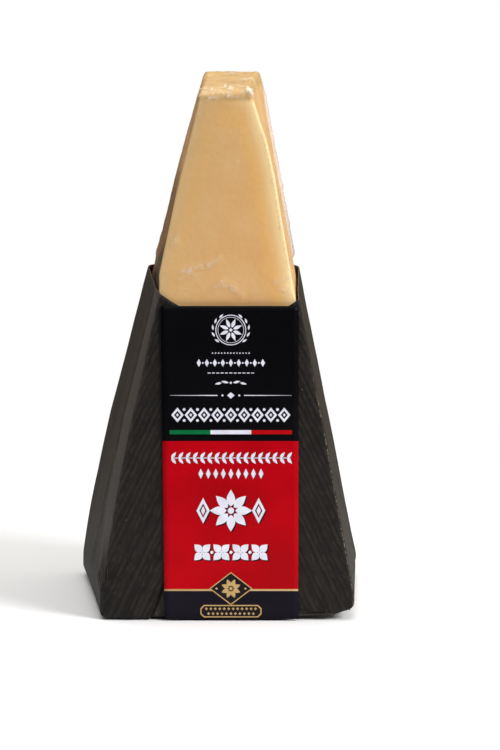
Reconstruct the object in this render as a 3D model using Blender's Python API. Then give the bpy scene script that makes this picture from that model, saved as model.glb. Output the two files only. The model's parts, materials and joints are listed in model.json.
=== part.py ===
"""A wedge of hard cheese in a clear bag, standing on its rind in a black paper wrapper.

The wedge is a sector cut from half a wheel. Its curved rind is the base, its tip is cut off at the
top, and the smooth cut face is the front. The clear bag clings to the front and leaves the sides
towards its welded edges at the back. The paper comes up round the lower part, and a long label
closes it at the front.

Lengths are in millimetres until a mesh is made. +Z is up, the front faces -Y, and the origin is
the middle of the base.
"""

import math

import bmesh
import bpy
from mathutils import Vector

MM = 0.001

# The whole object
HEIGHT = 185.0
DEPTH = 100.0

# The paper wrapper. The bag stands clear of it from WRAP_HEIGHT up, and its rim is a little lower.
PAPER = 0.5
FOLDED_BASE = 1.2
GAP = 0.3
WRAP_HEIGHT = 118.8
WRAP_LEFT_CORNER = 115.2
WRAP_RIGHT_CORNER = 112.7
WRAP_BACK_RIM = 114.0
WRAP_DIP = 106.0
WRAP_DIP_SLOPE = 0.55
BASE_FOLD = 2.0
TUCK = 0.5
TUCK_FRONT = 15.0
TUCK_BACK = 10.0
SIDE_DENT = 0.5

# The label at the front
LABEL_THICK = 0.25
LABEL_LEFT = -19.4
LABEL_RIGHT = 28.0
LABEL_BOTTOM = 0.6
LABEL_TOP = 109.9
LABEL_COLUMNS = 6
LABEL_ROWS = 12

WRAP_FRONT_Y = -DEPTH / 2 + LABEL_THICK + GAP
WRAP_BACK_Y = DEPTH / 2

# The paper's four upright creases, each as (height, x) from the base up
WRAP_FRONT_LEFT = [(0, -40.4), (15, -40.7), (30, -39.0), (40, -37.8), (70, -32.0), (WRAP_HEIGHT, -20.2)]
WRAP_FRONT_RIGHT = [(0, 49.0), (12, 47.0), (30, 43.7), (60, 38.4), (WRAP_HEIGHT, 26.8)]
WRAP_BACK_LEFT = [(0, -51.8), (6, -51.7), (24, -48.7), (58, -41.2), (WRAP_HEIGHT, -25.1)]
WRAP_BACK_RIGHT = [(0, 51.3), (6, 51.2), (13, 49.6), (24, 47.5), (50, 42.1), (WRAP_HEIGHT, 28.4)]

# The bag's four upright edges above the paper
BAG_FRONT_LEFT = [(WRAP_HEIGHT, -19.3), (177, -6.8), (HEIGHT, -5.1)]
BAG_FRONT_RIGHT = [(WRAP_HEIGHT, 25.9), (137, 22.8), (154, 20.1), (166, 17.3), (179, 12.8), (HEIGHT, 11.5)]
BAG_BACK_LEFT = [(WRAP_HEIGHT, -22.9), (129, -19.8), (163, -11.3), (HEIGHT, -5.1)]
BAG_BACK_RIGHT = [(WRAP_HEIGHT, 27.4), (147, 22.3), (HEIGHT, 15.3)]

# Corner radii
CREASE_RADIUS = 1.5
WRAP_BACK_RADIUS = 12.0
BAG_FRONT_RADIUS = 3.0
BAG_WELD_RADIUS = 2.5
BAG_WELD_FROM = 146.0
BAG_BASE_RADIUS = 2.5
BAG_TOP_RADIUS = 4.0
BAG_FLARE = 1.6
LEAST_CREASE_RADIUS = 0.5
LEAST_BAG_RADIUS = 0.8

# The lumps on top: how deep, and how many waves a millimetre across and towards the back
TOP_LUMP = 0.8
LUMPS_ACROSS = 0.11
LUMPS_BACK = 0.037

# The rind's curve under the base: flat in the middle, lifting towards the sides
REST_HALF_WIDTH = 30.0
LIFT_HALF_WIDTH = 48.0
LIFT_LEFT = 2.4
LIFT_RIGHT = 5.2

# Heights of the rows of points, and the number of steps round an outline
WRAP_ROWS = [6, 10, 15, 24, 32, 40, 50, 60, 70, 84, 98]
BAG_ROWS = [122, 127, 137, 146, 154, 160, 166, 172]
CORNER_STEPS = 4
FRONT_STEPS = 8
SIDE_STEPS = 6

# The steps, in degrees, by which the base and the bag's top turn into the sides
BASE_TURNS = (0, 45, 90)
TOP_TURNS = (0, 30, 55, 75, 90)
SHARP_ANGLE = 35.0


def at_height(profile, z):
    """The x of an upright edge at one height, between the points of its profile."""
    below = profile[0]
    for above in profile[1:]:
        if z <= above[0]:
            share = max(0.0, (z - below[0]) / (above[0] - below[0]))
            return below[1] + share * (above[1] - below[1])
        below = above
    return below[1]


def blend(a, b, start, end, z):
    """A value that goes smoothly from a below start to b above end."""
    share = min(1.0, max(0.0, (z - start) / (end - start)))
    share = share * share * (3 - 2 * share)
    return a + share * (b - a)


def inset_corners(corners, inset):
    """Move the sides of a four-sided outline in by one distance."""
    moved = []
    for index, corner in enumerate(corners):
        before = (corner - corners[index - 1]).normalized()
        after = (corners[(index + 1) % 4] - corner).normalized()
        inward = Vector((-before.y, before.x)) + Vector((-after.y, after.x))
        moved.append(corner + inward * inset / (1 + before.dot(after)))
    return moved


def arc(corner, before, after, radius):
    """The points of one rounded corner, from the side before it to the side after it."""
    back = (before - corner).normalized()
    ahead = (after - corner).normalized()
    half = math.acos(max(-1.0, min(1.0, back.dot(ahead)))) / 2
    reach = radius / math.tan(half)
    centre = corner + (back + ahead).normalized() * radius / math.sin(half)
    start = corner + back * reach - centre
    end = corner + ahead * reach - centre
    turn = math.pi - 2 * half
    points = []
    for step in range(CORNER_STEPS + 1):
        share = step / CORNER_STEPS
        from_start = math.sin((1 - share) * turn) / math.sin(turn)
        from_end = math.sin(share * turn) / math.sin(turn)
        points.append(centre + start * from_start + end * from_end)
    return points


def outline(corners, radii):
    """A rounded outline: front left, front, front right, right, back, back left, left."""
    arcs = []
    for index, corner in enumerate(corners):
        after = corners[(index + 1) % 4]
        arcs.append(arc(corner, corners[index - 1], after, radii[index]))
    points = []
    for index, steps in enumerate([FRONT_STEPS, SIDE_STEPS, FRONT_STEPS, SIDE_STEPS]):
        start = arcs[index][-1]
        end = arcs[(index + 1) % 4][0]
        points += arcs[index]
        points += [start.lerp(end, step / steps) for step in range(1, steps)]
    return points


def is_left(index):
    """Whether a point of the outline is on the left side."""
    first = 4 * CORNER_STEPS + 2 * FRONT_STEPS + SIDE_STEPS
    return index > first


def is_right(index):
    """Whether a point of the outline is on the right side."""
    first = 2 * CORNER_STEPS + FRONT_STEPS
    return first < index < first + SIDE_STEPS


def depth_share(point):
    """How far back a point is, from 0 at the front to 1 at the back."""
    return (point.y - WRAP_FRONT_Y) / (WRAP_BACK_Y - WRAP_FRONT_Y)


def dent(point, index, z):
    """How far a side of the paper gives way: a hollow, and a tuck along the left of the base."""
    if not (is_left(index) or is_right(index)):
        return 0.0
    share = depth_share(point)
    hollow = SIDE_DENT * math.sin(math.pi * share) * math.sin(math.pi * min(1.0, z / WRAP_HEIGHT))
    if is_right(index):
        return hollow
    tuck_height = TUCK_FRONT + (TUCK_BACK - TUCK_FRONT) * share
    return hollow + TUCK * max(0.0, 1 - z / tuck_height) * math.sin(math.pi * share) ** 0.5


def wrap_outline(z, inset, crease_radius=CREASE_RADIUS):
    """The paper's outline at one height, moved in by a distance."""
    corners = [
        Vector((at_height(WRAP_FRONT_LEFT, z), WRAP_FRONT_Y)),
        Vector((at_height(WRAP_FRONT_RIGHT, z), WRAP_FRONT_Y)),
        Vector((at_height(WRAP_BACK_RIGHT, z), WRAP_BACK_Y)),
        Vector((at_height(WRAP_BACK_LEFT, z), WRAP_BACK_Y)),
    ]
    front = max(LEAST_CREASE_RADIUS, crease_radius - inset)
    back = WRAP_BACK_RADIUS - inset
    points = outline(inset_corners(corners, inset), [front, front, back, back])
    for index, point in enumerate(points):
        inward = dent(point, index, z)
        point.x += inward if is_left(index) else -inward
    return points


def bag_outline(z, inset):
    """The bag's outline at one height: just inside the paper below, its own shape above."""
    if z < WRAP_HEIGHT:
        return wrap_outline(z, PAPER + GAP + inset, BAG_FRONT_RADIUS + PAPER + GAP)
    front_y = WRAP_FRONT_Y + PAPER + GAP
    back_y = WRAP_BACK_Y - PAPER - GAP
    corners = [
        Vector((at_height(BAG_FRONT_LEFT, z), front_y)),
        Vector((at_height(BAG_FRONT_RIGHT, z), front_y)),
        Vector((at_height(BAG_BACK_RIGHT, z), back_y)),
        Vector((at_height(BAG_BACK_LEFT, z), back_y)),
    ]
    weld = blend(WRAP_BACK_RADIUS, BAG_WELD_RADIUS, WRAP_HEIGHT, BAG_WELD_FROM, z)
    front = max(LEAST_BAG_RADIUS, BAG_FRONT_RADIUS - inset)
    back = max(LEAST_BAG_RADIUS, weld - inset)
    points = outline(inset_corners(corners, inset), [front, front, back, back])
    flare = blend(1.0, BAG_FLARE, WRAP_HEIGHT, BAG_WELD_FROM, z)
    for index, point in enumerate(points):
        if is_left(index) or is_right(index):
            share = depth_share(point)
            widening = (corners[3] - corners[0]).x if is_left(index) else (corners[2] - corners[1]).x
            point.x += widening * (share ** flare - share)
    return points


def lift(x):
    """How far the curved rind holds the base above the table."""
    beyond = max(0.0, abs(x) - REST_HALF_WIDTH) / (LIFT_HALF_WIDTH - REST_HALF_WIDTH)
    return (LIFT_LEFT if x < 0 else LIFT_RIGHT) * beyond * beyond


def rim_height(point):
    """The height of the paper's upper edge: nearly level, with a dip at the front behind the label."""
    left = at_height(WRAP_FRONT_LEFT, WRAP_LEFT_CORNER)
    right = at_height(WRAP_FRONT_RIGHT, WRAP_RIGHT_CORNER)
    in_left_half = point.x < (left + right) / 2
    corner = WRAP_LEFT_CORNER if in_left_half else WRAP_RIGHT_CORNER
    if point.y > WRAP_FRONT_Y + CREASE_RADIUS:
        return corner + (WRAP_BACK_RIM - corner) * depth_share(point)
    from_corner = max(0.0, point.x - left if in_left_half else right - point.x)
    return max(WRAP_DIP, corner - WRAP_DIP_SLOPE * from_corner)


def base_rows(outline_at, base, radius):
    """The rows of points that turn from the underside into the upright sides."""
    rows = []
    for degrees in BASE_TURNS:
        turn = math.radians(degrees)
        inset = radius * (1 - math.sin(turn))
        height = base + radius * (1 - math.cos(turn))
        points = []
        for index, level in enumerate(outline_at(height, inset)):
            z = height + lift(level.x)
            flat = outline_at(z, inset)[index]
            points.append(Vector((flat.x, flat.y, z)))
        rows.append(points)
    return rows


def wall_rows(outline_at, base_row, rims):
    """The rows of points up a side, from above the turn at the base to the rim's own heights."""
    rows = []
    for row in WRAP_ROWS + [None]:
        points = []
        for index, rim in enumerate(rims):
            z = rim if row is None else row + lift(base_row[index].x) * (1 - row / WRAP_HEIGHT)
            flat = outline_at(z, 0.0)[index]
            points.append(Vector((flat.x, flat.y, z)))
        rows.append(points)
    return rows


def add_rows(mesh, rows):
    """Add rows of points and the faces between them, and return the rows' vertices."""
    made = [[mesh.verts.new(point * MM) for point in row] for row in rows]
    for low, high in zip(made, made[1:]):
        for index in range(len(low)):
            after = (index + 1) % len(low)
            mesh.faces.new((low[index], low[after], high[after], high[index]))
    return made


def add_cap(mesh, row, height_at, facing_up):
    """Close a row of vertices with a grid that blends its four sides."""
    half = CORNER_STEPS // 2
    wide = FRONT_STEPS + CORNER_STEPS
    deep = SIDE_STEPS + CORNER_STEPS
    ring = row[half:] + row[:half]
    front = ring[:wide + 1]
    right = ring[wide:wide + deep + 1]
    back = ring[wide + deep:2 * wide + deep + 1][::-1]
    left = (ring[2 * wide + deep:] + ring[:1])[::-1]
    grid = []
    for down in range(deep + 1):
        v = down / deep
        line = []
        for across in range(wide + 1):
            u = across / wide
            if down == 0:
                line.append(front[across])
            elif down == deep:
                line.append(back[across])
            elif across == 0:
                line.append(left[down])
            elif across == wide:
                line.append(right[down])
            else:
                between = front[across].co * (1 - v) + back[across].co * v
                between += left[down].co * (1 - u) + right[down].co * u
                near = front[0].co * (1 - u) + front[-1].co * u
                far = back[0].co * (1 - u) + back[-1].co * u
                point = between - near * (1 - v) - far * v
                point.z = height_at(point.x / MM, point.y / MM) * MM
                line.append(mesh.verts.new(point))
        grid.append(line)
    for near_line, far_line in zip(grid, grid[1:]):
        for across in range(wide):
            face = (near_line[across], near_line[across + 1], far_line[across + 1], far_line[across])
            mesh.faces.new(face if facing_up else face[::-1])


def make_material(name, colour, roughness):
    """A plain Principled material."""
    material = bpy.data.materials.new(name)
    material.use_nodes = True
    shader = material.node_tree.nodes["Principled BSDF"]
    shader.inputs["Base Color"].default_value = (*colour, 1.0)
    shader.inputs["Roughness"].default_value = roughness
    shader.inputs["Metallic"].default_value = 0.0
    return material


def make_object(name, mesh, material, parent):
    """Turn the modelled mesh into a named object with its material."""
    bmesh.ops.recalc_face_normals(mesh, faces=mesh.faces)
    data = bpy.data.meshes.new(name)
    mesh.to_mesh(data)
    mesh.free()
    data.shade_smooth()
    data.set_sharp_from_angle(angle=math.radians(SHARP_ANGLE))
    data.materials.append(material)
    made = bpy.data.objects.new(name, data)
    made.parent = parent
    bpy.context.scene.collection.objects.link(made)
    return made


def make_wrapper(parent):
    """The paper: a shell open at the top, with a folded base."""
    def outer(z, inset):
        return wrap_outline(z, inset)

    def inner(z, inset):
        return wrap_outline(z, PAPER + inset)

    rims = [rim_height(point) for point in wrap_outline(WRAP_HEIGHT, 0.0)]
    mesh = bmesh.new()
    outer_rows = base_rows(outer, 0.0, BASE_FOLD)
    outer_rows += wall_rows(outer, outer_rows[-1], rims)
    inner_rows = base_rows(inner, FOLDED_BASE, BASE_FOLD - FOLDED_BASE + PAPER)
    inner_rows += wall_rows(inner, inner_rows[-1], rims)
    made = add_rows(mesh, outer_rows + inner_rows[::-1])
    add_cap(mesh, made[0], lambda x, y: lift(x), facing_up=False)
    add_cap(mesh, made[-1], lambda x, y: FOLDED_BASE + lift(x), facing_up=True)
    black_paper = make_material("black_paper", (0.022, 0.019, 0.018), 0.65)
    return make_object("paper_wrapper", mesh, black_paper, parent)


def make_pack(parent):
    """The clear bag with the cheese in it, as one solid out to the film."""
    base = FOLDED_BASE + GAP
    rims = [WRAP_HEIGHT] * (4 * CORNER_STEPS + 2 * FRONT_STEPS + 2 * SIDE_STEPS)
    rows = base_rows(bag_outline, base, BAG_BASE_RADIUS)
    rows += wall_rows(bag_outline, rows[-1], rims)
    for z in BAG_ROWS:
        rows.append([Vector((p.x, p.y, z)) for p in bag_outline(z, 0.0)])
    for degrees in TOP_TURNS:
        turn = math.radians(degrees)
        z = HEIGHT - BAG_TOP_RADIUS * (1 - math.sin(turn))
        inset = BAG_TOP_RADIUS * (1 - math.cos(turn))
        rows.append([Vector((p.x, p.y, z)) for p in bag_outline(z, inset)])

    def lumpy_top(x, y):
        across = math.sin(2 * math.pi * LUMPS_ACROSS * x)
        back = math.sin(2 * math.pi * LUMPS_BACK * (y + DEPTH / 2))
        return HEIGHT - TOP_LUMP * (0.5 + 0.5 * across * back)

    mesh = bmesh.new()
    made = add_rows(mesh, rows)
    add_cap(mesh, made[0], lambda x, y: base + lift(x), facing_up=False)
    add_cap(mesh, made[-1], lumpy_top, facing_up=True)
    straw_yellow = make_material("bagged_cheese", (0.72, 0.47, 0.2), 0.25)
    return make_object("cheese_pack", mesh, straw_yellow, parent)


def make_label(parent):
    """The long label: a thin upright sheet in front of the paper, standing above its dip."""
    mesh = bmesh.new()
    sheets = []
    for y in (-DEPTH / 2, -DEPTH / 2 + LABEL_THICK):
        sheet = []
        for row in range(LABEL_ROWS + 1):
            z = LABEL_BOTTOM + (LABEL_TOP - LABEL_BOTTOM) * row / LABEL_ROWS
            line = []
            for column in range(LABEL_COLUMNS + 1):
                x = LABEL_LEFT + (LABEL_RIGHT - LABEL_LEFT) * column / LABEL_COLUMNS
                line.append(mesh.verts.new(Vector((x, y, z)) * MM))
            sheet.append(line)
        sheets.append(sheet)
    for sheet in sheets:
        for low, high in zip(sheet, sheet[1:]):
            for column in range(LABEL_COLUMNS):
                mesh.faces.new((low[column], low[column + 1], high[column + 1], high[column]))
    borders = []
    for sheet in sheets:
        border = sheet[0] + [line[-1] for line in sheet[1:]]
        border += sheet[-1][-2::-1] + [line[0] for line in sheet[-2:0:-1]]
        borders.append(border)
    for index in range(len(borders[0])):
        after = (index + 1) % len(borders[0])
        mesh.faces.new((borders[0][index], borders[0][after], borders[1][after], borders[1][index]))
    label_red = make_material("label_print", (0.42, 0.004, 0.012), 0.45)
    return make_object("label", mesh, label_red, parent)


for leftover in list(bpy.data.objects):
    bpy.data.objects.remove(leftover, do_unlink=True)

whole = bpy.data.objects.new("wrapped_wedge", None)
bpy.context.scene.collection.objects.link(whole)
make_pack(whole)
make_wrapper(whole)
make_label(whole)
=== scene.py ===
# %% [markdown]
# A wedge of hard cheese, sealed in clear film and standing on its rind in a black paper wrapper.
# The solids of the model say where everything is and how large. This notebook dresses them: it
# makes the cheese, the film, the paper and the printed label as real surfaces, one after another.
# The first cell loads the solids and notes the box that they fill.

# %% Load the solids
import json
import math

import bmesh
import bpy
import numpy as np
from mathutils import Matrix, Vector, noise
from mathutils.bvhtree import BVHTree
from mathutils.geometry import intersect_point_line

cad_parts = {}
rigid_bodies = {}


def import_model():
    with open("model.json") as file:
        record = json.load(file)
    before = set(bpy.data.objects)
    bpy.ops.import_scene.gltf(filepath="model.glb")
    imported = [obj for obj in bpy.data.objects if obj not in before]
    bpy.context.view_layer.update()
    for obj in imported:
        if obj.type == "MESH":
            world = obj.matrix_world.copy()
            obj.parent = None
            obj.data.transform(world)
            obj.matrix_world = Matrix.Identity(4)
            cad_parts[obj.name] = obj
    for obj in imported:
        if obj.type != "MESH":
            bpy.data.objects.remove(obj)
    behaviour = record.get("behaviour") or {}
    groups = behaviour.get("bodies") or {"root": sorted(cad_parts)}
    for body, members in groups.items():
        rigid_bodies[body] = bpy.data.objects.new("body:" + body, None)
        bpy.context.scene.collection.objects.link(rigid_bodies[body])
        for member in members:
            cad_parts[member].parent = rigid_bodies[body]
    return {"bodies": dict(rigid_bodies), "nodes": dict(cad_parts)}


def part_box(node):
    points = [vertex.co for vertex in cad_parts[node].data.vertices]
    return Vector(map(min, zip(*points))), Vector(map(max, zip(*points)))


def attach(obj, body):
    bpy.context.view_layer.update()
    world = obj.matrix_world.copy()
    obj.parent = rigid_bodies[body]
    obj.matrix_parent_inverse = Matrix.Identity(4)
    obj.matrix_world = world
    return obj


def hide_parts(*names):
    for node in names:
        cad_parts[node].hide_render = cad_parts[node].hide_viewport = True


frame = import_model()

MM = 0.001
BODY = list(frame["bodies"])[0]
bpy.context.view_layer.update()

# %% [markdown]
# Every new surface has to lie on its solid. The shapes could be typed in again as numbers, but then
# a change to the model would leave the surfaces behind. It is safer to measure: a ray shot level
# from the side finds how wide a solid is at any height and depth. Blender's BVHTree does that fast.

# %% Measure the solids with rays
FAR_AWAY = 300.0


def solid_tree(node):
    """A search tree over one solid's faces."""
    mesh = frame["nodes"][node].data
    corners = [vertex.co for vertex in mesh.vertices]
    return BVHTree.FromPolygons(corners, [face.vertices for face in mesh.polygons])


def side_x(tree, side, y, z):
    """The x where a level ray from the left (-1) or the right (+1) meets a solid."""
    start = Vector((side * FAR_AWAY, y, z)) * MM
    return tree.ray_cast(start, Vector((-side, 0, 0)))[0].x / MM


def end_y(tree, end, x, z):
    """The y where a level ray from the front (-1) or the back (+1) meets a solid."""
    start = Vector((x, end * FAR_AWAY, z)) * MM
    return tree.ray_cast(start, Vector((0, -end, 0)))[0].y / MM


pack_tree = solid_tree("cheese_pack")
paper_tree = solid_tree("paper_wrapper")
pack_low, pack_high = [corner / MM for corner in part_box("cheese_pack")]
paper_low, paper_high = [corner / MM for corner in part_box("paper_wrapper")]
label_low, label_high = [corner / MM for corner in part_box("label")]
label_middle = (label_low.x + label_high.x) / 2
print("paper reaches", round(paper_high.z, 1), "mm up; the whole is", round(pack_high.z, 1), "mm high")

# %% [markdown]
# The cheese, the film and the paper all have the same kind of cross-section: four sides with
# rounded corners. One function makes such an outline at any height. The straight sides are read
# from the solid point by point, so that hollows come along, and each corner is a short smooth arc.
# The cut cheese has sharper front edges than its solid, so near the front a side runs on straight.
# First come the parts of an outline: a corner, a straight stretch and a side that is read off.

# %% The parts of a cross-section
ARC_STEPS = 6
FRONT_STEPS = 48
SIDE_STEPS = 72
LOWEST_MEASURE = 9.0
ROUNDED_TOP = 4.2
TOP_MEASURE = pack_high.z - ROUNDED_TOP
PLUMB_MEASURE = 60.0
BAG_FRONT_RADIUS = 3.0
PLAIN_STEP = 6.0
FACET_FLATNESS = 0.8


def corner_arc(start, corner, end):
    """A smooth arc from start to end that bends towards a corner."""
    points = []
    for step in range(ARC_STEPS + 1):
        t = step / ARC_STEPS
        points.append(start * (1 - t) ** 2 + corner * 2 * t * (1 - t) + end * t ** 2)
    return points


def between(start, end):
    """The points inside a straight front or back, without its ends."""
    return [start.lerp(end, step / FRONT_STEPS) for step in range(1, FRONT_STEPS)]


def side_points(tree, side, near, far, z):
    """Points along the left or right side, front to back."""
    plain = pack_low.y + BAG_FRONT_RADIUS
    at_plain, beyond = side_x(tree, side, plain, z), side_x(tree, side, plain + PLAIN_STEP, z)
    points = []
    for step in range(SIDE_STEPS + 1):
        y = near + (far - near) * step / SIDE_STEPS
        if y < plain:
            x = at_plain + (beyond - at_plain) * (y - plain) / PLAIN_STEP
        else:
            x = side_x(tree, side, y, z)
        points.append(Vector((x, y)))
    return points


sample = side_points(paper_tree, 1, 0.0, 30.0, 60.0)
print("the paper's right side goes from x", round(sample[0].x, 1), "to", round(sample[-1].x, 1), "mm")

# %% [markdown]
# Now the parts are joined, anticlockwise from the front left. Every outline gets the same number of
# points, so that outlines can later be joined into a grid of faces. The rims of film and paper
# reach higher than a level ray can measure, so above that an outline runs on straight: each point
# goes on the way it went between two heights further down.

# %% Whole cross-sections with a fixed number of points
def outline(tree, z, front_left, front_right, back, facet=0.0):
    """One closed cross-section with its corner radii, anticlockwise from the front left.

    A facet cuts the left front corner flat and starts that many millimetres further back.
    """
    z = min(max(z, LOWEST_MEASURE), TOP_MEASURE)
    middle = (side_x(tree, -1, 0, z) + side_x(tree, 1, 0, z)) / 2
    plumb = z if z > paper_high.z else min(z, PLUMB_MEASURE)
    front_y = end_y(tree, -1, middle, plumb)
    back_y = end_y(tree, 1, middle, plumb)
    left = side_points(tree, -1, front_y + front_left + facet, back_y - back, z)
    right = side_points(tree, 1, front_y + front_right, back_y - back, z)
    arcs = {}
    for name, side, radius, sign in (("left", left, front_left, 1), ("right", right, front_right, -1)):
        slope = (side[-1].x - side[0].x) / (side[-1].y - side[0].y)
        near = Vector((side[0].x - slope * (side[0].y - front_y), front_y))
        far = Vector((side[-1].x + slope * back, back_y))
        front_end = near + Vector((sign * radius, 0))
        turn = near
        if facet and name == "left":
            turn = near.lerp((side[0] + front_end) / 2, FACET_FLATNESS)
        arcs[name + " front"] = corner_arc(side[0], turn, front_end)
        arcs[name + " back"] = corner_arc(side[-1], far, far + Vector((sign * back, 0)))
    points = list(arcs["left front"])
    points += between(arcs["left front"][-1], arcs["right front"][-1])
    points += arcs["right front"][::-1] + right[1:-1]
    points += arcs["right back"]
    points += between(arcs["right back"][-1], arcs["left back"][-1])
    points += arcs["left back"][::-1] + left[-2:0:-1]
    return points


def runs_on(cross_section, highest, step, z):
    """The cross-section at one height; above the highest measured one it runs on straight."""
    if z <= highest:
        return cross_section(z)
    beyond = (z - highest) / step
    low, high = cross_section(highest - step), cross_section(highest)
    return [near + (near - far) * beyond for far, near in zip(low, high)]


sample = outline(paper_tree, 60.0, 1.5, 1.5, 12.0)
print("one outline has", len(sample), "points")

# %% [markdown]
# Rows of points become a mesh in two moves. Faces go between each row and the next, all the way
# round, and an end is closed with a grid that blends the four sides of its row. A grid, unlike one
# large flat face, can be dented and bumped later, which the uneven top of the cheese needs.

# %% Turn rows of points into a mesh
def ring_faces(rows):
    """Faces between rows that all run once round."""
    count = len(rows[0])
    faces = []
    for row in range(len(rows) - 1):
        for index in range(count):
            after = (index + 1) % count
            low, high = row * count, (row + 1) * count
            faces.append((low + index, low + after, high + after, high + index))
    return faces


def cap_grid(ring, first):
    """New points and the face grid that close a ring whose own points start at index first."""
    half = ARC_STEPS // 2
    wide = FRONT_STEPS + ARC_STEPS
    deep = SIDE_STEPS + ARC_STEPS
    names = list(range(first + half, first + len(ring))) + list(range(first, first + half))
    spots = ring[half:] + ring[:half]
    sides = {
        "front": slice(0, wide + 1),
        "right": slice(wide, wide + deep + 1),
        "back": slice(wide + deep, 2 * wide + deep + 1),
    }
    front, right, back = [spots[sides[name]] for name in ("front", "right", "back")]
    left = spots[2 * wide + deep:] + spots[:1]
    front_names, right_names, back_names = [names[sides[name]] for name in ("front", "right", "back")]
    left_names = names[2 * wide + deep:] + names[:1]
    back, left, back_names, left_names = back[::-1], left[::-1], back_names[::-1], left_names[::-1]
    added = []
    grid = []
    for down in range(deep + 1):
        v = down / deep
        line = []
        for across in range(wide + 1):
            u = across / wide
            if down in (0, deep):
                line.append((front_names if down == 0 else back_names)[across])
            elif across in (0, wide):
                line.append((left_names if across == 0 else right_names)[down])
            else:
                spot = front[across] * (1 - v) + back[across] * v + left[down] * (1 - u) + right[down] * u
                spot -= (front[0] * (1 - u) + front[-1] * u) * (1 - v)
                spot -= (back[0] * (1 - u) + back[-1] * u) * v
                line.append(first + len(ring) + len(added))
                added.append(spot)
        grid.append(line)
    faces = []
    for near, far in zip(grid, grid[1:]):
        for across in range(wide):
            faces.append((near[across], near[across + 1], far[across + 1], far[across]))
    return added, faces


def mesh_from_rows(name, rows, top=False, bottom=False):
    """A mesh from rows of points in millimetres, with its ends closed where asked."""
    points = [spot for row in rows for spot in row]
    faces = ring_faces(rows)
    if top:
        added, cap = cap_grid(rows[-1], len(points) - len(rows[-1]))
        points += added
        faces += cap
    if bottom:
        added, cap = cap_grid(rows[0], 0)
        start = len(points) - len(rows[0])
        moved = [tuple(i if i < len(rows[0]) else i + start for i in face) for face in cap]
        points += added
        faces += [face[::-1] for face in moved]
    mesh = bpy.data.meshes.new(name)
    mesh.from_pydata([tuple(spot * MM) for spot in points], [], faces)
    mesh.validate()
    mesh.shade_smooth()
    return mesh


print("an end is closed with", (FRONT_STEPS + ARC_STEPS) * (SIDE_STEPS + ARC_STEPS), "faces")

# %% [markdown]
# A mesh still needs three things. It is put into the scene as a piece that goes with the object, it
# gets relief by moving each point along its normal, and it can carry a number on each point for a
# material to read. Modifiers could move the points as well, but plain functions of a point's place
# can be combined freely, and they say what they do.

# %% Place a mesh, give it relief and store numbers on it
def place(name, mesh, *materials):
    """Put a finished mesh into the scene as a piece that goes with the body."""
    piece = bpy.data.objects.new(name, mesh)
    bpy.context.scene.collection.objects.link(piece)
    for material in materials:
        mesh.materials.append(material)
    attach(piece, BODY)
    print(name, "has", len(mesh.polygons), "faces")
    return piece


def displace(mesh, amount):
    """Move each point along its normal by amount(spot, normal), both in millimetres."""
    normals = [vertex.normal.copy() for vertex in mesh.vertices]
    for vertex, normal in zip(mesh.vertices, normals):
        vertex.co += normal * amount(vertex.co / MM, normal) * MM


def write_attribute(mesh, name, value):
    """Store value(spot, normal) on every point, for a material to read."""
    normals = [vertex.normal.copy() for vertex in mesh.vertices]
    layer = mesh.attributes.new(name, "FLOAT", "POINT")
    values = [value(v.co / MM, n) for v, n in zip(mesh.vertices, normals)]
    layer.data.foreach_set("value", values)


print("every piece will ride on the body", BODY)

# %% [markdown]
# Materials are small networks of shader nodes. Building them by clicking is pleasant but can't be
# repeated, so short helpers do it in code. One turns a colour from the 0 to 255 scale into Blender's
# linear values, one adds a node and links or sets its inputs, and others mix, stretch and join.

# %% Helpers that add nodes
def linear(red, green, blue):
    """A screen colour, 0 to 255, as Blender's linear colour."""
    def one(value):
        share = value / 255
        return share / 12.92 if share <= 0.04045 else ((share + 0.055) / 1.055) ** 2.4
    return (one(red), one(green), one(blue), 1.0)


def add(material, kind, inputs=None, **settings):
    """Add a shader node. An input is a plain value or another node's output."""
    node = material.node_tree.nodes.new(kind)
    for key, value in settings.items():
        setattr(node, key, value)
    for key, value in (inputs or {}).items():
        if isinstance(value, bpy.types.NodeSocket):
            material.node_tree.links.new(value, node.inputs[key])
        else:
            node.inputs[key].default_value = value
    return node


def mixed(material, share, first, second, blend="MIX"):
    """Two colours mixed by a share from 0 to 1."""
    node = add(material, "ShaderNodeMix", {0: share, 6: first, 7: second}, data_type="RGBA", blend_type=blend)
    return node.outputs[2]


def spread(material, value, low, high, to_low=0.0, to_high=1.0):
    """A value stretched from one range to another, kept inside it."""
    inputs = {"Value": value, "From Min": low, "From Max": high, "To Min": to_low, "To Max": to_high}
    return add(material, "ShaderNodeMapRange", inputs, interpolation_type="SMOOTHSTEP").outputs[0]


def combined(material, operation, first, second):
    """Two values joined by a Math node."""
    return add(material, "ShaderNodeMath", {0: first, 1: second}, operation=operation).outputs[0]


def times(material, value, factor):
    """A value made larger or smaller, or one value times another."""
    return combined(material, "MULTIPLY", value, factor)


def plus(material, value, other):
    """Two values added up."""
    return combined(material, "ADD", value, other)


print("a grey of 128 is", round(linear(128, 128, 128)[0], 3), "in linear light")

# %% [markdown]
# The next helpers stand for what a surface is made of: soft noise that is fixed to the object, a
# number that was stored on the mesh, a bump, and the Principled shader itself. Noise takes the
# object's own coordinates instead of a UV map, so it needs no unwrapping and has a true size.

# %% Helpers for surfaces
def speckle(material, per_metre, detail=2.0, roughness=0.5, stretch=(1, 1, 1)):
    """Soft noise fixed to the object; per_metre is how many blotches fit in a metre."""
    place_on = add(material, "ShaderNodeTexCoord").outputs["Object"]
    scaled = add(material, "ShaderNodeMapping", {"Vector": place_on, "Scale": stretch}).outputs[0]
    inputs = {"Vector": scaled, "Scale": per_metre, "Detail": detail, "Roughness": roughness}
    return add(material, "ShaderNodeTexNoise", inputs).outputs["Fac"]


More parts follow.
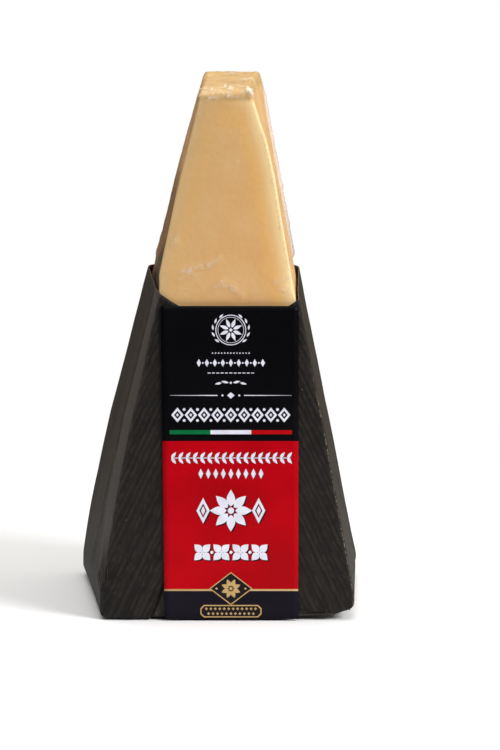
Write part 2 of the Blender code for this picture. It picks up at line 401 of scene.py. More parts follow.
def read_attribute(material, name):
    """A value that was stored on the mesh."""
    return add(material, "ShaderNodeAttribute", attribute_name=name).outputs["Fac"]


def bumped(material, height, distance, strength=1.0):
    """A surface direction roughened by a height in metres."""
    inputs = {"Height": height, "Distance": distance, "Strength": strength}
    return add(material, "ShaderNodeBump", inputs).outputs[0]


def new_material(name, **values):
    """A Principled material; underscores in the names of its sockets stand for spaces."""
    material = bpy.data.materials.new(name)
    material.use_nodes = True
    shader = material.node_tree.nodes["Principled BSDF"]
    for key, value in values.items():
        shader.inputs[key.replace("_", " ")].default_value = value
    return material, shader


def feed(material, shader, **sources):
    """Link outputs to the Principled shader's sockets."""
    for key, source in sources.items():
        material.node_tree.links.new(source, shader.inputs[key.replace("_", " ")])


print("the solids brought", len(bpy.data.materials), "plain materials of their own")

# %% [markdown]
# The camera comes first, because every later look goes through it. The photograph was taken from
# about a metre and a half away with a long lens, a little above the wedge and looking slightly
# down. A long lens keeps upright edges nearly parallel, which is why the wedge looks so calm.
# The floor is a disc of white paper that fades out into the white of the room, so that no horizon
# shows. It is not part of the object.

# %% Camera and floor
LENS = 211.0
CAMERA_DISTANCE = 1500.0
CAMERA_HEIGHT = 285.6
CAMERA_X = 11.3
LOOK_DOWN = 7.58

camera_data = bpy.data.cameras.new("camera")
camera_data.lens = LENS
camera_data.sensor_width = 36.0
camera_data.clip_end = 20.0
camera = bpy.data.objects.new("camera", camera_data)
camera.location = Vector((CAMERA_X, label_low.y - CAMERA_DISTANCE, CAMERA_HEIGHT)) * MM
camera.rotation_euler = (math.radians(90 - LOOK_DOWN), 0, 0)
bpy.context.scene.collection.objects.link(camera)
bpy.context.scene.camera = camera

FLOOR_RADIUS = 0.8
FADE_FROM = 0.13
FADE_TO = 0.42
floor_mesh = bpy.data.meshes.new("floor")
disc_shape = bmesh.new()
bmesh.ops.create_circle(disc_shape, cap_ends=True, segments=96, radius=FLOOR_RADIUS)
disc_shape.to_mesh(floor_mesh)
disc_shape.free()
floor = bpy.data.objects.new("floor", floor_mesh)
bpy.context.scene.collection.objects.link(floor)
white_floor, floor_shader = new_material("white_floor", Roughness=0.9, Specular_IOR_Level=0.0)
floor_shader.inputs["Base Color"].default_value = (0.92, 0.92, 0.92, 1.0)
floor_place = add(white_floor, "ShaderNodeTexCoord").outputs["Object"]
from_middle = add(white_floor, "ShaderNodeVectorMath", {0: floor_place}, operation="LENGTH").outputs["Value"]
feed(white_floor, floor_shader, Alpha=spread(white_floor, from_middle, FADE_FROM, FADE_TO, 1.0, 0.0))
floor_mesh.materials.append(white_floor)
print("camera at", camera.location, "with a", LENS, "mm lens")

# %% [markdown]
# The light is a plain studio: a large soft lamp high on the right in front, and a weaker one
# overhead that keeps the floor white. Large lamps give soft shadows and long smooth highlights.
# The room looks pure white to the camera, but it lights the object far less than that, or the black
# paper would turn grey: it is darkest in front, where the label would mirror it, and a little warm
# behind, which gives the paper's sides their brown sheen.

# %% Lights
ROOM_LEAST = 0.1
ROOM_FROM_RIGHT = 0.25
ROOM_FROM_ABOVE = 0.4
ROOM_FROM_BEHIND = 0.25
WHITE = (1.0, 1.0, 1.0, 1.0)
WARM_WHITE = (1.0, 0.8, 0.58, 1.0)


def soft_lamp(name, spot, aim, size, power):
    """A square soft lamp that points at a spot; places in metres."""
    data = bpy.data.lights.new(name, "AREA")
    data.size = size
    data.energy = power
    lamp = bpy.data.objects.new(name, data)
    lamp.location = spot
    lamp.rotation_euler = (Vector(aim) - Vector(spot)).to_track_quat("-Z", "Y").to_euler()
    bpy.context.scene.collection.objects.link(lamp)


soft_lamp("key_lamp", spot=(1.0, -0.8, 0.9), aim=(0, 0, 0.1), size=0.6, power=20.0)
soft_lamp("top_lamp", spot=(-0.1, 0.1, 1.4), aim=(0, 0, 0), size=1.4, power=14.0)

room = bpy.data.worlds.new("studio")
bpy.context.scene.world = room
room.use_nodes = True
split = add(room, "ShaderNodeSeparateXYZ", {0: add(room, "ShaderNodeTexCoord").outputs["Generated"]})
from_right = spread(room, split.outputs["X"], -0.2, 1.0, 0.0, ROOM_FROM_RIGHT)
from_above = spread(room, split.outputs["Z"], 0.0, 1.0, ROOM_LEAST, ROOM_FROM_ABOVE)
from_behind = spread(room, split.outputs["Y"], 0.2, 0.9, 0.0, 1.0)
strength = plus(room, from_right, from_above)
strength = plus(room, strength, times(room, from_behind, ROOM_FROM_BEHIND))
warmth = mixed(room, from_behind, WHITE, WARM_WHITE)
lighting = add(room, "ShaderNodeBackground", {"Color": warmth, "Strength": strength}).outputs[0]
seen = add(room, "ShaderNodeBackground", {"Color": WHITE}).outputs[0]
looked_at = add(room, "ShaderNodeLightPath").outputs["Is Camera Ray"]
choice = add(room, "ShaderNodeMixShader", {0: looked_at, 1: lighting, 2: seen}).outputs[0]
room.node_tree.links.new(choice, room.node_tree.nodes["World Output"].inputs[0])
bpy.context.scene.view_settings.view_transform = "Standard"
print("two lamps and a pale room")

# %% [markdown]
# Cheese, film and paper are all creased. Each crease could be painted in a normal map, but real
# folds catch the light better and show at the rim. So a surface is raised along short lines: a fold
# is a ridge between two points, highest on its line. The front of the pack has a few of its own.

# %% Folds as ridges along lines
def ridge(spot, start, end, width):
    """1 on the line between two points, falling evenly to 0 at its width."""
    nearest, share = intersect_point_line(spot, start, end)
    nearest = start.lerp(end, min(1.0, max(0.0, share)))
    return max(0.0, 1.0 - (spot - nearest).length / width)


def fold_sum(spot, folds):
    """The heights of all folds at one place; a fold is (start, end, width, height)."""
    return sum(height * ridge(spot, start, end, width) for start, end, width, height in folds)


def on_front(x, z):
    """A place on the front face of the pack."""
    return Vector((x, pack_low.y, z))


def front_edge(side, z, y=0.0):
    """A place on the pack's left (-1) or right (+1) front edge, y further back."""
    depth_here = pack_low.y + BAG_FRONT_RADIUS + y
    return Vector((side_x(pack_tree, side, depth_here, z), depth_here, z))


FRONT_CREASES = [(-12.4, 121.8, -9.4, 122.2), (-9.4, 122.2, -6.2, 123.4), (-6.2, 123.4, -3.0, 123.7),
                 (-3.0, 123.7, 1.0, 126.4), (-13.0, 119.6, -8.0, 120.4), (-1.8, 115.6, 1.6, 117.6),
                 (1.6, 117.6, 5.4, 116.0), (5.4, 116.0, 8.6, 113.4), (19.6, 117.8, 24.2, 119.6),
                 (21.5, 115.8, 25.0, 115.0), (-15.6, 131.0, -13.4, 133.6)]
CREASE_WIDE = 1.3
CREASE_HIGH = 0.3
front_creases = []
for x0, z0, x1, z1 in FRONT_CREASES:
    front_creases.append((on_front(x0, z0), on_front(x1, z1), CREASE_WIDE, CREASE_HIGH))
print(len(front_creases), "creases on the front")

# %% [markdown]
# The cheese is a sector cut from half a wheel, and the film lies tight on it. So both follow one
# shape, the filled pack, whose rows of points are read from its solid. Two things are added that
# the solid is too coarse for: the top edges are drawn in along a smooth curve, and on the left the
# bag bulges by about a millimetre, most of all at the front edge.

# %% The filled pack
ROW_STEP = 1.25
CUT_EDGE_RADIUS = 1.1
PAPER_BACK_RADIUS = 12.0
BAG_WELD_RADIUS = 2.6
WELD_OPEN = 146.0
SIDE_ROUNDING = 1.7
FRONT_ROUNDING = 4.0
TOP_ROWS = 12
TOP_STEP = 10.0
LEFT_SWELL = 0.9
EDGE_SWELL = 0.7
SWELL_FROM, SWELL_FULL = 113.0, 122.0
SWELL_WANES_FROM, SWELL_WANES_TO = 145.0, 182.0
SWELL_REACH = 60.0


def smooth_share(value, low, high):
    """0 below low, 1 above high, and a soft step between."""
    share = min(1.0, max(0.0, (value - low) / (high - low)))
    return share * share * (3 - 2 * share)


def weld_radius(z):
    """The bag's back corners: round inside the paper, sharp where the weld stands free."""
    share = smooth_share(z, paper_high.z, WELD_OPEN)
    return PAPER_BACK_RADIUS + (BAG_WELD_RADIUS - PAPER_BACK_RADIUS) * share


def rounding(z, radius):
    """How far a rounded top edge has moved in at one height."""
    over = max(0.0, z - (pack_high.z - radius))
    return radius - math.sqrt(max(0.0, radius * radius - over * over))


def pack_heights(foot):
    """Even heights up to the rounded top, then closer ones round it."""
    straight = pack_high.z - FRONT_ROUNDING
    count = int((straight - foot) / ROW_STEP)
    heights = [foot + (straight - foot) * row / count for row in range(count + 1)]
    for step in range(1, TOP_ROWS + 1):
        heights.append(straight + FRONT_ROUNDING * math.sin(math.pi / 2 * step / TOP_ROWS))
    return heights


def swell(y, z):
    """How far the bag bulges to the left at a depth and height, from the paper up."""
    waning = 1 - 0.6 * smooth_share(z, SWELL_WANES_FROM, SWELL_WANES_TO)
    toward_front = 1 - smooth_share(y, pack_low.y + 4, pack_low.y + SWELL_REACH)
    return (LEFT_SWELL + EDGE_SWELL * toward_front) * waning * smooth_share(z, SWELL_FROM, SWELL_FULL)


def pack_ring(z, back_least):
    """The pack's cross-section at one height: swollen on the left and drawn in round its top edges."""
    def measured(height):
        back = max(back_least, weld_radius(height))
        return outline(pack_tree, height, CUT_EDGE_RADIUS, CUT_EDGE_RADIUS, back)
    flat = runs_on(measured, TOP_MEASURE, TOP_STEP, z)
    left, right = min(point.x for point in flat), max(point.x for point in flat)
    front, back = min(point.y for point in flat), max(point.y for point in flat)
    near, far = flat[0], flat[-SIDE_STEPS]
    side_in, front_in = rounding(z, SIDE_ROUNDING), rounding(z, FRONT_ROUNDING)
    ring = []
    for point in flat:
        across = (point.x - left) / (right - left)
        along = (point.y - front) / (back - front)
        from_left = point.x - near.x - (far.x - near.x) * (point.y - near.y) / (far.y - near.y)
        out = swell(point.y, z) * (1 - smooth_share(from_left, 1.5, 9.0))
        x = point.x + side_in * (1 - 2 * across) - out
        y = point.y + front_in * (1 - along) - side_in * along
        ring.append(Vector((x, y, z)))
    return ring


print("at half its height the pack's front is", round(pack_ring(92.5, 3.0)[0].x, 1), "mm left of the middle")

# %% [markdown]
# The cheese's front is smooth, cut with a wire or a blade. Its two sides are split and so slightly
# crumbly, and the back and the base are rind. Smooth noise moves the points of the sides and the
# top in a little, because real relief shows in the outline, and a bump in the material doesn't.
# The cheese stays clear of the film, further off near the welds. Where the paper hides it, it is
# drawn in, and more so round the foot, to keep it off the paper.

# %% The cheese's surface
CHEESE_BACK_RADIUS = 4.5
CHEESE_FOOT = 3.5
FOOT_TAPER = 0.06
FILM_CLEARANCE = 0.3
HIDDEN_INSET = 2.4
WELD_SLACK = 0.6


def cheese_ring(z):
    """The cheese's cross-section: the pack's, drawn in a little round the foot."""
    share = 1 - FOOT_TAPER * (1 - smooth_share(z, 5, 12))
    return [Vector((p.x * share, p.y * share, p.z)) for p in pack_ring(z, CHEESE_BACK_RADIUS)]


def hidden_inset(z):
    """How far the pack is drawn in where the paper holds it tight."""
    return HIDDEN_INSET * (1 - smooth_share(z, 92, 113))


def bumps(spot, size, seed=0.0):
    """Smooth noise from about -1 to 1 with bumps of a size in millimetres."""
    return noise.noise(Vector((spot.x + seed, spot.y - seed, spot.z + 2 * seed)) / size)


def cheese_relief(spot, normal):
    """How far the cheese's surface stands off the film's solid."""
    off = -hidden_inset(spot.z) - FILM_CLEARANCE
    side = normal.x * normal.x
    toward_weld = smooth_share(spot.y, 10, pack_high.y)
    crumbs = 0.35 * abs(bumps(spot, 7.0)) + 0.2 * abs(bumps(spot, 2.4, 5.0))
    slack = WELD_SLACK * (1 - smooth_share(spot.z, 165, 180)) if normal.x > 0 else 0.0
    off -= side * (slack * toward_weld + crumbs * (0.3 + 0.4 * toward_weld))
    top = smooth_share(spot.z, 182, 184.5)
    off -= top * (1.2 * abs(bumps(spot, 9.0, 9.0)) + 0.4 * abs(bumps(spot, 3.0, 3.0)))
    return off + 0.8 * fold_sum(spot, front_creases)


cheese_rows = [cheese_ring(z) for z in pack_heights(CHEESE_FOOT)]
cheese_mesh = mesh_from_rows("cheese", cheese_rows, top=True, bottom=True)
print("the cheese has", len(cheese_rows), "rows of", len(cheese_rows[0]), "points")

# %% [markdown]
# Many of the cheese's colours depend on the place: the rim of the front is pale and, on the right,
# carries a painted highlight, a band inside it is deepest yellow, the left of the front is painted
# greyer as shade, and the left side is painted brown as shade. A material can't measure how far an
# edge is, but it can read a number stored on each point. So plain functions work these numbers out
# while the mesh is still even, and only then the relief is added.

# %% Numbers that the cheese's material reads
FRONT_LEAN_X = 4.0


def from_left_edge(spot):
    """How far to the right of the front face's left edge a place lies."""
    z = min(max(spot.z, LOWEST_MEASURE), TOP_MEASURE)
    return spot.x - side_x(pack_tree, -1, pack_low.y + BAG_FRONT_RADIUS, z) + swell(pack_low.y, z)


def inside_front(spot):
    """How far inside the rim of the front face a place lies."""
    z = min(max(spot.z, LOWEST_MEASURE), TOP_MEASURE)
    left = from_left_edge(spot)
    right = side_x(pack_tree, 1, pack_low.y + BAG_FRONT_RADIUS, z) - spot.x
    return max(0.0, min(left, right, (pack_high.z - spot.z) * 0.6))


def rim_and_highlight_share(spot, normal):
    """1 at the front's rim, 0 about 12 mm inside; a pale rim and a painted highlight, weaker on the left."""
    middle = FRONT_LEAN_X * min(1.0, max(0.0, spot.z / pack_high.z))
    side = 0.25 + 0.75 * smooth_share(spot.x - middle, -5, 7)
    behind = smooth_share(spot.y, pack_low.y + 2, pack_low.y + 16)
    return side * (1 - 0.75 * behind) * math.exp(-inside_front(spot) / 4.0)


def amber_band(spot, normal):
    """1 some millimetres inside the rim, where the cheese is deepest yellow; weaker on the left."""
    share = 0.45 + 0.55 * smooth_share(spot.x, -2, 8)
    return share * math.exp(-((inside_front(spot) - 6.5) / 3.0) ** 2)


def shaded_left_side(spot, normal):
    """1 on the left side, which is painted brown and dark as the side in shade."""
    return smooth_share(-normal.x, 0.45, 0.8)


def split_side(spot, normal):
    """1 on the two split sides and 0 on the smooth front and the back."""
    return smooth_share(abs(normal.x), 0.5, 0.85)


def shaded_left_of_front(spot, normal):
    """1 at the left edge of the front, falling off to the right; there the front is painted greyer as shade.
    """
    return math.exp(-max(0.0, from_left_edge(spot)) / 8.0)


cheese_numbers = {"edge": rim_and_highlight_share, "amber": amber_band, "shaded_flank": shaded_left_side,
                  "split": split_side, "left_shade": shaded_left_of_front}
for name, number in cheese_numbers.items():
    write_attribute(cheese_mesh, name, number)
displace(cheese_mesh, cheese_relief)
print("stored on each point:", ", ".join(cheese_numbers))

# %% [markdown]
# Hard cheese is never one colour. The middle of the cut face is a warm tan straw, the rim is paler
# and yellower because light goes through thin edges, and on the right brighter still as a painted
# highlight, and soft cloudy patches drift across. The left of the cut face is painted a little greyer
# as shade. Split sides are grainy, and pale crystals dot them all. Each of these is one mix over the
# last, from the widest to the finest. A little subsurface light keeps it from looking like painted
# wood, and a coat stands for the film that clings to it.

# %% Cheese: the cut faces
straw, straw_shader = new_material(
    "aged_cheese", Roughness=0.55, Specular_IOR_Level=0.3, Coat_Weight=0.15, Coat_Roughness=0.25,
    Subsurface_Weight=0.1, Subsurface_Radius=(1.0, 0.6, 0.3), Subsurface_Scale=0.002)
clouds = spread(straw, speckle(straw, 60.0, detail=3.0), 0.3, 0.72)
face_colour = mixed(straw, clouds, linear(217, 165, 102), linear(222, 175, 116))
# Painted shade: the left of the front is greyer.
left_shade = times(straw, read_attribute(straw, "left_shade"), 0.7)
face_colour = mixed(straw, left_shade, face_colour, linear(196, 170, 122))
grain = spread(straw, speckle(straw, 130.0, detail=6.0, roughness=0.65), 0.38, 0.62)
grainy = times(straw, times(straw, grain, read_attribute(straw, "split")), 0.75)
face_colour = mixed(straw, grainy, face_colour, linear(196, 142, 76))
amber = times(straw, read_attribute(straw, "amber"), 0.45)
face_colour = mixed(straw, amber, face_colour, linear(230, 174, 84))
# The pale rim of the front, partly the cheese's own edge and partly a painted highlight, strongest on the
# right.
rim_and_highlight = spread(straw, read_attribute(straw, "edge"), 0.06, 0.82)
face_colour = mixed(straw, rim_and_highlight, face_colour, linear(249, 218, 160))
fine = spread(straw, speckle(straw, 520.0, detail=2.0), 0.3, 0.7)
face_colour = mixed(straw, times(straw, fine, 0.08), face_colour, linear(236, 208, 158))
crystal_cells = add(straw, "ShaderNodeTexVoronoi", {
    "Vector": add(straw, "ShaderNodeTexCoord").outputs["Object"], "Scale": 210.0}).outputs["Distance"]
crystals = spread(straw, crystal_cells, 0.07, 0.11, 1.0, 0.0)
patchy = spread(straw, speckle(straw, 60.0, detail=1.0), 0.52, 0.62)
crystals = times(straw, times(straw, crystals, patchy), 0.15)
face_colour = mixed(straw, crystals, face_colour, linear(245, 230, 200))
print("the cut faces take", len(straw.node_tree.nodes), "nodes")

# %% [markdown]
# The other faces have tones of their own. The back is the rind: golden brown and smoother. The cut
# top, the crown, is a little darker than the front. The left side is painted brown as shade, darker
# low down, and where its front part meets the paper it is painted almost black, a painted shadow of
# the paper. These zones are told apart by height and depth, which are the object's own coordinates,
# so they stay in place from any view. The shaded side is also duller, so it mirrors less of the room.

# %% Cheese: the rind, the crown and the left side
RIND_FROM, RIND_FULL = 41.5, 47.5
RIND_WAVE = 1.2
CROWN_FROM, CROWN_FULL = 179.4, 181.5
FLANK_PALE_FROM, FLANK_PALE_FULL = 142.0, 158.0
SHADOW_BELOW, SHADOW_UP_TO = 122.5, 131.0
SHADOW_LEAN = 0.06
SHADOW_NEAR, SHADOW_FAR, SHADOW_DROP = -15.0, 30.0, 14.0
place_of = add(straw, "ShaderNodeSeparateXYZ", {0: add(straw, "ShaderNodeTexCoord").outputs["Object"]})
backward, upward = place_of.outputs["Y"], place_of.outputs["Z"]
wavy = plus(straw, backward, times(straw, fine, RIND_WAVE * MM))
rind = spread(straw, wavy, RIND_FROM * MM, RIND_FULL * MM)
rind_tone = mixed(straw, clouds, linear(150, 104, 52), linear(184, 136, 74))
face_colour = mixed(straw, rind, face_colour, rind_tone)
crown = times(straw, spread(straw, upward, CROWN_FROM * MM, CROWN_FULL * MM), 0.9)
crown_tone = mixed(straw, clouds, linear(190, 151, 90), linear(206, 173, 116))
face_colour = mixed(straw, crown, face_colour, crown_tone)
# Painted shade: the left side is brown, darker towards the bottom.
upper = spread(straw, upward, FLANK_PALE_FROM * MM, FLANK_PALE_FULL * MM)
shaded_flank_tone = mixed(straw, upper, linear(132, 86, 40), linear(224, 172, 114))
shaded_flank_tone = mixed(straw, times(straw, grainy, 0.6), shaded_flank_tone, linear(104, 66, 30))
# Painted shadow: almost black where the front part of the left side meets the paper.
shadow_level = plus(straw, upward, times(straw, backward, SHADOW_LEAN))
shadow_level = plus(straw, shadow_level, spread(straw, backward, SHADOW_NEAR * MM, SHADOW_FAR * MM, 0.0, SHADOW_DROP * MM))
out_of_shadow = spread(straw, shadow_level, SHADOW_BELOW * MM, SHADOW_UP_TO * MM)
shaded_flank_tone = mixed(straw, out_of_shadow, linear(22, 12, 4), shaded_flank_tone)
# The left side takes the painted shade tone worked out above.
shaded_flank = times(straw, read_attribute(straw, "shaded_flank"), 0.95)
feed(straw, straw_shader, Base_Color=mixed(straw, shaded_flank, face_colour, shaded_flank_tone))
feed(straw, straw_shader, Roughness=spread(straw, shaded_flank, 0.0, 0.95, 0.55, 0.95))
crumb = plus(straw, fine, times(straw, grainy, 9.0))
feed(straw, straw_shader, Normal=bumped(straw, crumb, 0.00012, 0.2))
cheese = place("cheese", cheese_mesh, straw)
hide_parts("cheese_pack")

# %% [markdown]
# The film is a thin clear bag with the air drawn out. It lies tight on the front, so little of it
# shows there but its gloss and a few creases. Its folds come in families. Puckers cross the rounded
# edge at the top, one after another, and they crowd at the right corner, where the film is bunched.
# Each family is a loop, with seeded random draws for its unevenness, so every run is the same.

# %% Puckers at the top
draw = np.random.default_rng(24)
film_folds = []
TOP_PUCKERS = 26
for count in range(TOP_PUCKERS):
    share = (count + draw.uniform(-0.3, 0.3)) / (TOP_PUCKERS - 1)
    left, right = front_edge(-1, 180), front_edge(1, 180)
    x = left.x + (right.x - left.x) * share
    start = Vector((x, pack_low.y + 0.8, 182.2 + draw.uniform(-1.5, 1.0)))
    end = start + Vector((draw.uniform(-1.8, 1.8), draw.uniform(1.5, 5.0), draw.uniform(1.5, 4.0)))
    film_folds.append((start, end, draw.uniform(0.7, 1.3), draw.uniform(0.25, 0.65)))
CORNER_PUCKERS = 12
for count in range(CORNER_PUCKERS):
    start = Vector((draw.uniform(7.5, 12.0), pack_low.y + draw.uniform(0.6, 4.0), draw.uniform(180.5, 184.4)))
    end = start + Vector((draw.uniform(-3.0, 1.5), draw.uniform(-0.5, 2.0), draw.uniform(-3.5, 1.5)))
    film_folds.append((start, end, draw.uniform(0.6, 1.1), draw.uniform(0.4, 0.7)))
print(len(film_folds), "puckers at the top")

# %% [markdown]
# Along the front edges the film has short puckers, and tension folds run from there back towards
# the welds. Both are faint: a film drawn tight by vacuum is nearly smooth, and stronger folds would
# look like cloth. A few folds cross the top, and the last list is the thin bright lines of the
# front's edges, where the film stands off by a hair and catches the lamp.

# %% Folds of the sides and the top
EDGE_PUCKERS = 34
for side in (-1, 1):
    for count in range(EDGE_PUCKERS):
        z = 106 + 76 * (count + draw.uniform(-0.4, 0.4)) / EDGE_PUCKERS
        start = front_edge(side, z, -draw.uniform(1.5, 3.0))
        end = front_edge(side, z - draw.uniform(2, 7), draw.uniform(3, 16))
        film_folds.append((start, end, draw.uniform(0.7, 1.6), draw.uniform(0.04, 0.16)))
SIDE_FOLDS = 12
for side in (-1, 1):
    for count in range(SIDE_FOLDS):
        z = 110 + 68 * (count + draw.uniform(-0.4, 0.4)) / SIDE_FOLDS
        start = front_edge(side, z, draw.uniform(8, 25))
        end = front_edge(side, z - draw.uniform(-4, 10), draw.uniform(55, 84))
        film_folds.append((start, end, draw.uniform(2.0, 4.5), draw.uniform(0.04, 0.14)))
TOP_FOLDS = 9
for count in range(TOP_FOLDS):
    middle = Vector((draw.uniform(-2, 11), pack_low.y + 8 + 84 * count / TOP_FOLDS, pack_high.z - 0.4))
    reach = Vector((draw.uniform(2, 6), draw.uniform(-7, 7), 0))
    film_folds.append((middle - reach, middle + reach, draw.uniform(1.0, 2.6), draw.uniform(0.2, 0.6)))
GLINTS = [(-6.2, 180.0, -2.5, 181.3), (-2.5, 181.3, 3.5, 181.8), (3.5, 181.8, 9.0, 181.2),
          (12.8, 180.5, 16.6, 166.5), (16.6, 166.5, 19.2, 153.5), (19.2, 153.5, 22.0, 137.0),
          (22.0, 137.0, 25.4, 119.5)]
GLINT_WIDE = 0.8
GLINT_HIGH = 0.3
for x0, z0, x1, z1 in GLINTS:
    film_folds.append((on_front(x0, z0), on_front(x1, z1), GLINT_WIDE, GLINT_HIGH))
film_folds += front_creases
print(len(film_folds), "folds in the film")

# %% [markdown]
# The film's mesh follows the bag's solid from inside the paper up to the top. It is displaced by
# the folds, and a stored value says how creased each place is, because creased film looks white
# and flat film is almost invisible. Solidify then gives the sheet its thickness.

# %% The film bag
FILM_FOOT = 84.0
FILM_THICK = 0.1


def film_height(spot, normal):
    """How far the film rises off the bag's solid."""
    free = smooth_share(spot.z, 101, 119)
    if spot.y < pack_low.y + 4:
        free = smooth_share(spot.z, 100, 104)
    ripple = 0.06 * bumps(spot, 9.0, 4.0) + 0.03 * bumps(spot, 3.0, 8.0)
    return free * (ripple + fold_sum(spot, film_folds)) - hidden_inset(spot.z) - 0.1


def creasedness(spot, normal):
    """0 where the film is smooth, up to 1 where it is creased."""
    strength = 0.35 if normal.x > 0 else 0.3 * smooth_share(142 - spot.z, 0, 16)
    ragged = 0.5 + 0.5 * bumps(spot, 3.5, 2.0)
    by_edge = math.exp(-abs(spot.y - pack_low.y - 1.5) / 1.5)
    edge = strength * ragged * by_edge * smooth_share(abs(normal.x), 0.15, 0.7)
    top = 0.16 * smooth_share(spot.z, 181, 184) * (0.5 + 0.5 * bumps(spot, 2.5))
    return min(1.0, max(0.0, 1.5 * fold_sum(spot, film_folds) + edge + top))


film_rows = [pack_ring(z, BAG_WELD_RADIUS) for z in pack_heights(FILM_FOOT)]
film_mesh = mesh_from_rows("film_bag", film_rows, top=True)
write_attribute(film_mesh, "creased", creasedness)
displace(film_mesh, film_height)
print("the film has", len(film_rows), "rows and is", FILM_THICK, "mm thick")

# %% [markdown]
# Clear film is hard to get right. Real glass-like transmission is slow and darkens what is behind
# it. Here the film is a glossy surface that is mostly let through by its Alpha: a little on smooth
# places and more on creases, where it scatters light and looks whitish.

# %% Film material
def clear_film(name, least, most, colour):
    """Glossy clear film, from least solid where smooth to most solid where creased."""
    material, shader = new_material(name, Roughness=0.12, IOR=1.5, Specular_IOR_Level=0.9)
    shader.inputs["Base Color"].default_value = colour
    creased = read_attribute(material, "creased")
    streaks = spread(material, speckle(material, 900.0, detail=2.0), 0.35, 0.7, 0.4, 1.0)
    solid = times(material, creased, streaks)
    feed(material, shader, Alpha=spread(material, solid, 0.0, 1.0, least, most))
    feed(material, shader, Normal=bumped(material, speckle(material, 420.0, detail=3.0), 0.0002, 0.3))
    return material


bag_film = clear_film("clear_film", 0.01, 0.6, (0.95, 0.86, 0.72, 1.0))
film_bag = place("film_bag", film_mesh, bag_film)
thickness = film_bag.modifiers.new("thickness", "SOLIDIFY")
thickness.thickness = FILM_THICK * MM
thickness.offset = -1
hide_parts("cheese_pack")

# %% [markdown]
# The bag was welded along both sides, and the welds run up the back corners as narrow crinkled
# strips. Each goes from inside the paper to the top, wavy along its free edge and ribbed by the
# welding jaws. A strip is simplest as a small grid of its own.

# %% Weld fins
FIN_ROOT = 1.4
FIN_TIP = 0.3
FIN_ACROSS = 6
FIN_RADIUS = 2.6
FIN_HIDDEN = 8.0
FIN_BELOW_TOP = 3.5
FIN_FREE = 118.5
FIN_STEP = 0.8
JAW_PITCH = 1.6


def weld_fin(name, side):
    """A crinkled strip along one back corner of the bag."""
    foot, head = paper_high.z - FIN_HIDDEN, pack_high.z - FIN_BELOW_TOP
    count = int((head - foot) / FIN_STEP)
    points = []
    for row in range(count + 1):
        z = foot + (head - foot) * row / count
        inner_y = pack_high.y - weld_radius(z) - 1.0
        radius = FIN_RADIUS + (PAPER_BACK_RADIUS - FIN_RADIUS) * smooth_share(FIN_FREE - z, 0, 4.5)
        radius += FIN_RADIUS * smooth_share(z, head - 7, head)
        side_here = side_x(pack_tree, side, inner_y, z)
        root = Vector((side_here - side * FIN_ROOT, inner_y, z))
        slope = (side_here - side_x(pack_tree, side, inner_y - 6, z)) / 6
        corner = side_here + slope * (pack_high.y - inner_y)
        tip = Vector((corner - side * (0.25 * radius - FIN_TIP - 0.3), pack_high.y - 0.25 * radius, z))
        for across in range(FIN_ACROSS + 1):
            share = across / FIN_ACROSS
            wave = 0.25 * bumps(root, 6.0, 11.0 + side) + 0.2 * bumps(root, 2.2, 3.0)
            jaw = 0.08 * math.sin(2 * math.pi * z / JAW_PITCH)
            points.append(root.lerp(tip, share) + Vector((side * (wave + jaw) * share, 0, 0)))
    faces = []
    wide = FIN_ACROSS + 1
    for row in range(count):
        for across in range(FIN_ACROSS):
            low = row * wide + across
            face = (low, low + 1, low + wide + 1, low + wide)
            faces.append(face if side < 0 else face[::-1])
    mesh = bpy.data.meshes.new(name)
    mesh.from_pydata([tuple(point * MM) for point in points], [], faces)
    mesh.shade_smooth()
    write_attribute(mesh, "creased", lambda spot, normal: 0.55 + 0.45 * bumps(spot, 2.5, 6.0))
    fin = place(name, mesh, weld_film)
    solid = fin.modifiers.new("thickness", "SOLIDIFY")
    solid.thickness = 0.2 * MM
    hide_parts("cheese_pack")


weld_film = clear_film("welded_film", 0.4, 0.95, (0.85, 0.66, 0.5, 1.0))
weld_fin("weld_left", -1)
weld_fin("weld_right", 1)

# %% [markdown]
# The wrapper is one sheet of ribbed paper, black outside and brown inside, brought round from the
# back like gift wrap. It is a sheet with a thickness and sharp folds, so it is made as rows of
# points from the base to the rim, then creased. Its rim falls from the back to the front corners and
# dips behind the label. The solid's own rim points, sorted by direction, tell its height all round.

# %% The paper sleeve's shape
PAPER_THICK = 0.4
CREASE_RADIUS = 1.5
BEVEL_RADIUS = 2.4
BEVEL_FACET = 9.0
PINCH_RADIUS = 1.3
PINCH_HEIGHT = 14.6
CORNER_MEASURE = 110.0
CORNER_STEP = 10.0
RIM_FROM = 104.0
LIFT_INSIDE = 0.955
paper_front = paper_low.y


def left_radius(z):
    """The left front corner: a broad soft bevel above, drawn sharp at the pinch near the base."""
    share = smooth_share(z, PINCH_HEIGHT, 42.0) * (1 - 0.8 * smooth_share(z, 80.0, CORNER_MEASURE))
    low_share = smooth_share(PINCH_HEIGHT - z, 0.0, PINCH_HEIGHT)
    return PINCH_RADIUS + (BEVEL_RADIUS - PINCH_RADIUS) * share + 1.2 * low_share


def paper_ring(z):
    """The paper's cross-section at one height. Above its lowest front corner it runs on straight."""
    def measured(height):
        facet = 0.1 + BEVEL_FACET * smooth_share(height, PINCH_HEIGHT, 30.0)
        return outline(paper_tree, height, left_radius(height), CREASE_RADIUS, PAPER_BACK_RADIUS, facet)
    return runs_on(measured, CORNER_MEASURE, CORNER_STEP, z)


def angle_round(spot):
    """The direction of a place, seen from above the middle of the label and the rim."""
    return math.atan2(spot.y, spot.x - label_middle)


def base_lift(x, y):
    """How far the rounded rind holds the paper off the table."""
    start = Vector((x, y, -FAR_AWAY)) * MM
    hit = paper_tree.ray_cast(start, Vector((0, 0, 1)))[0]
    return hit.z / MM if hit else 0.0


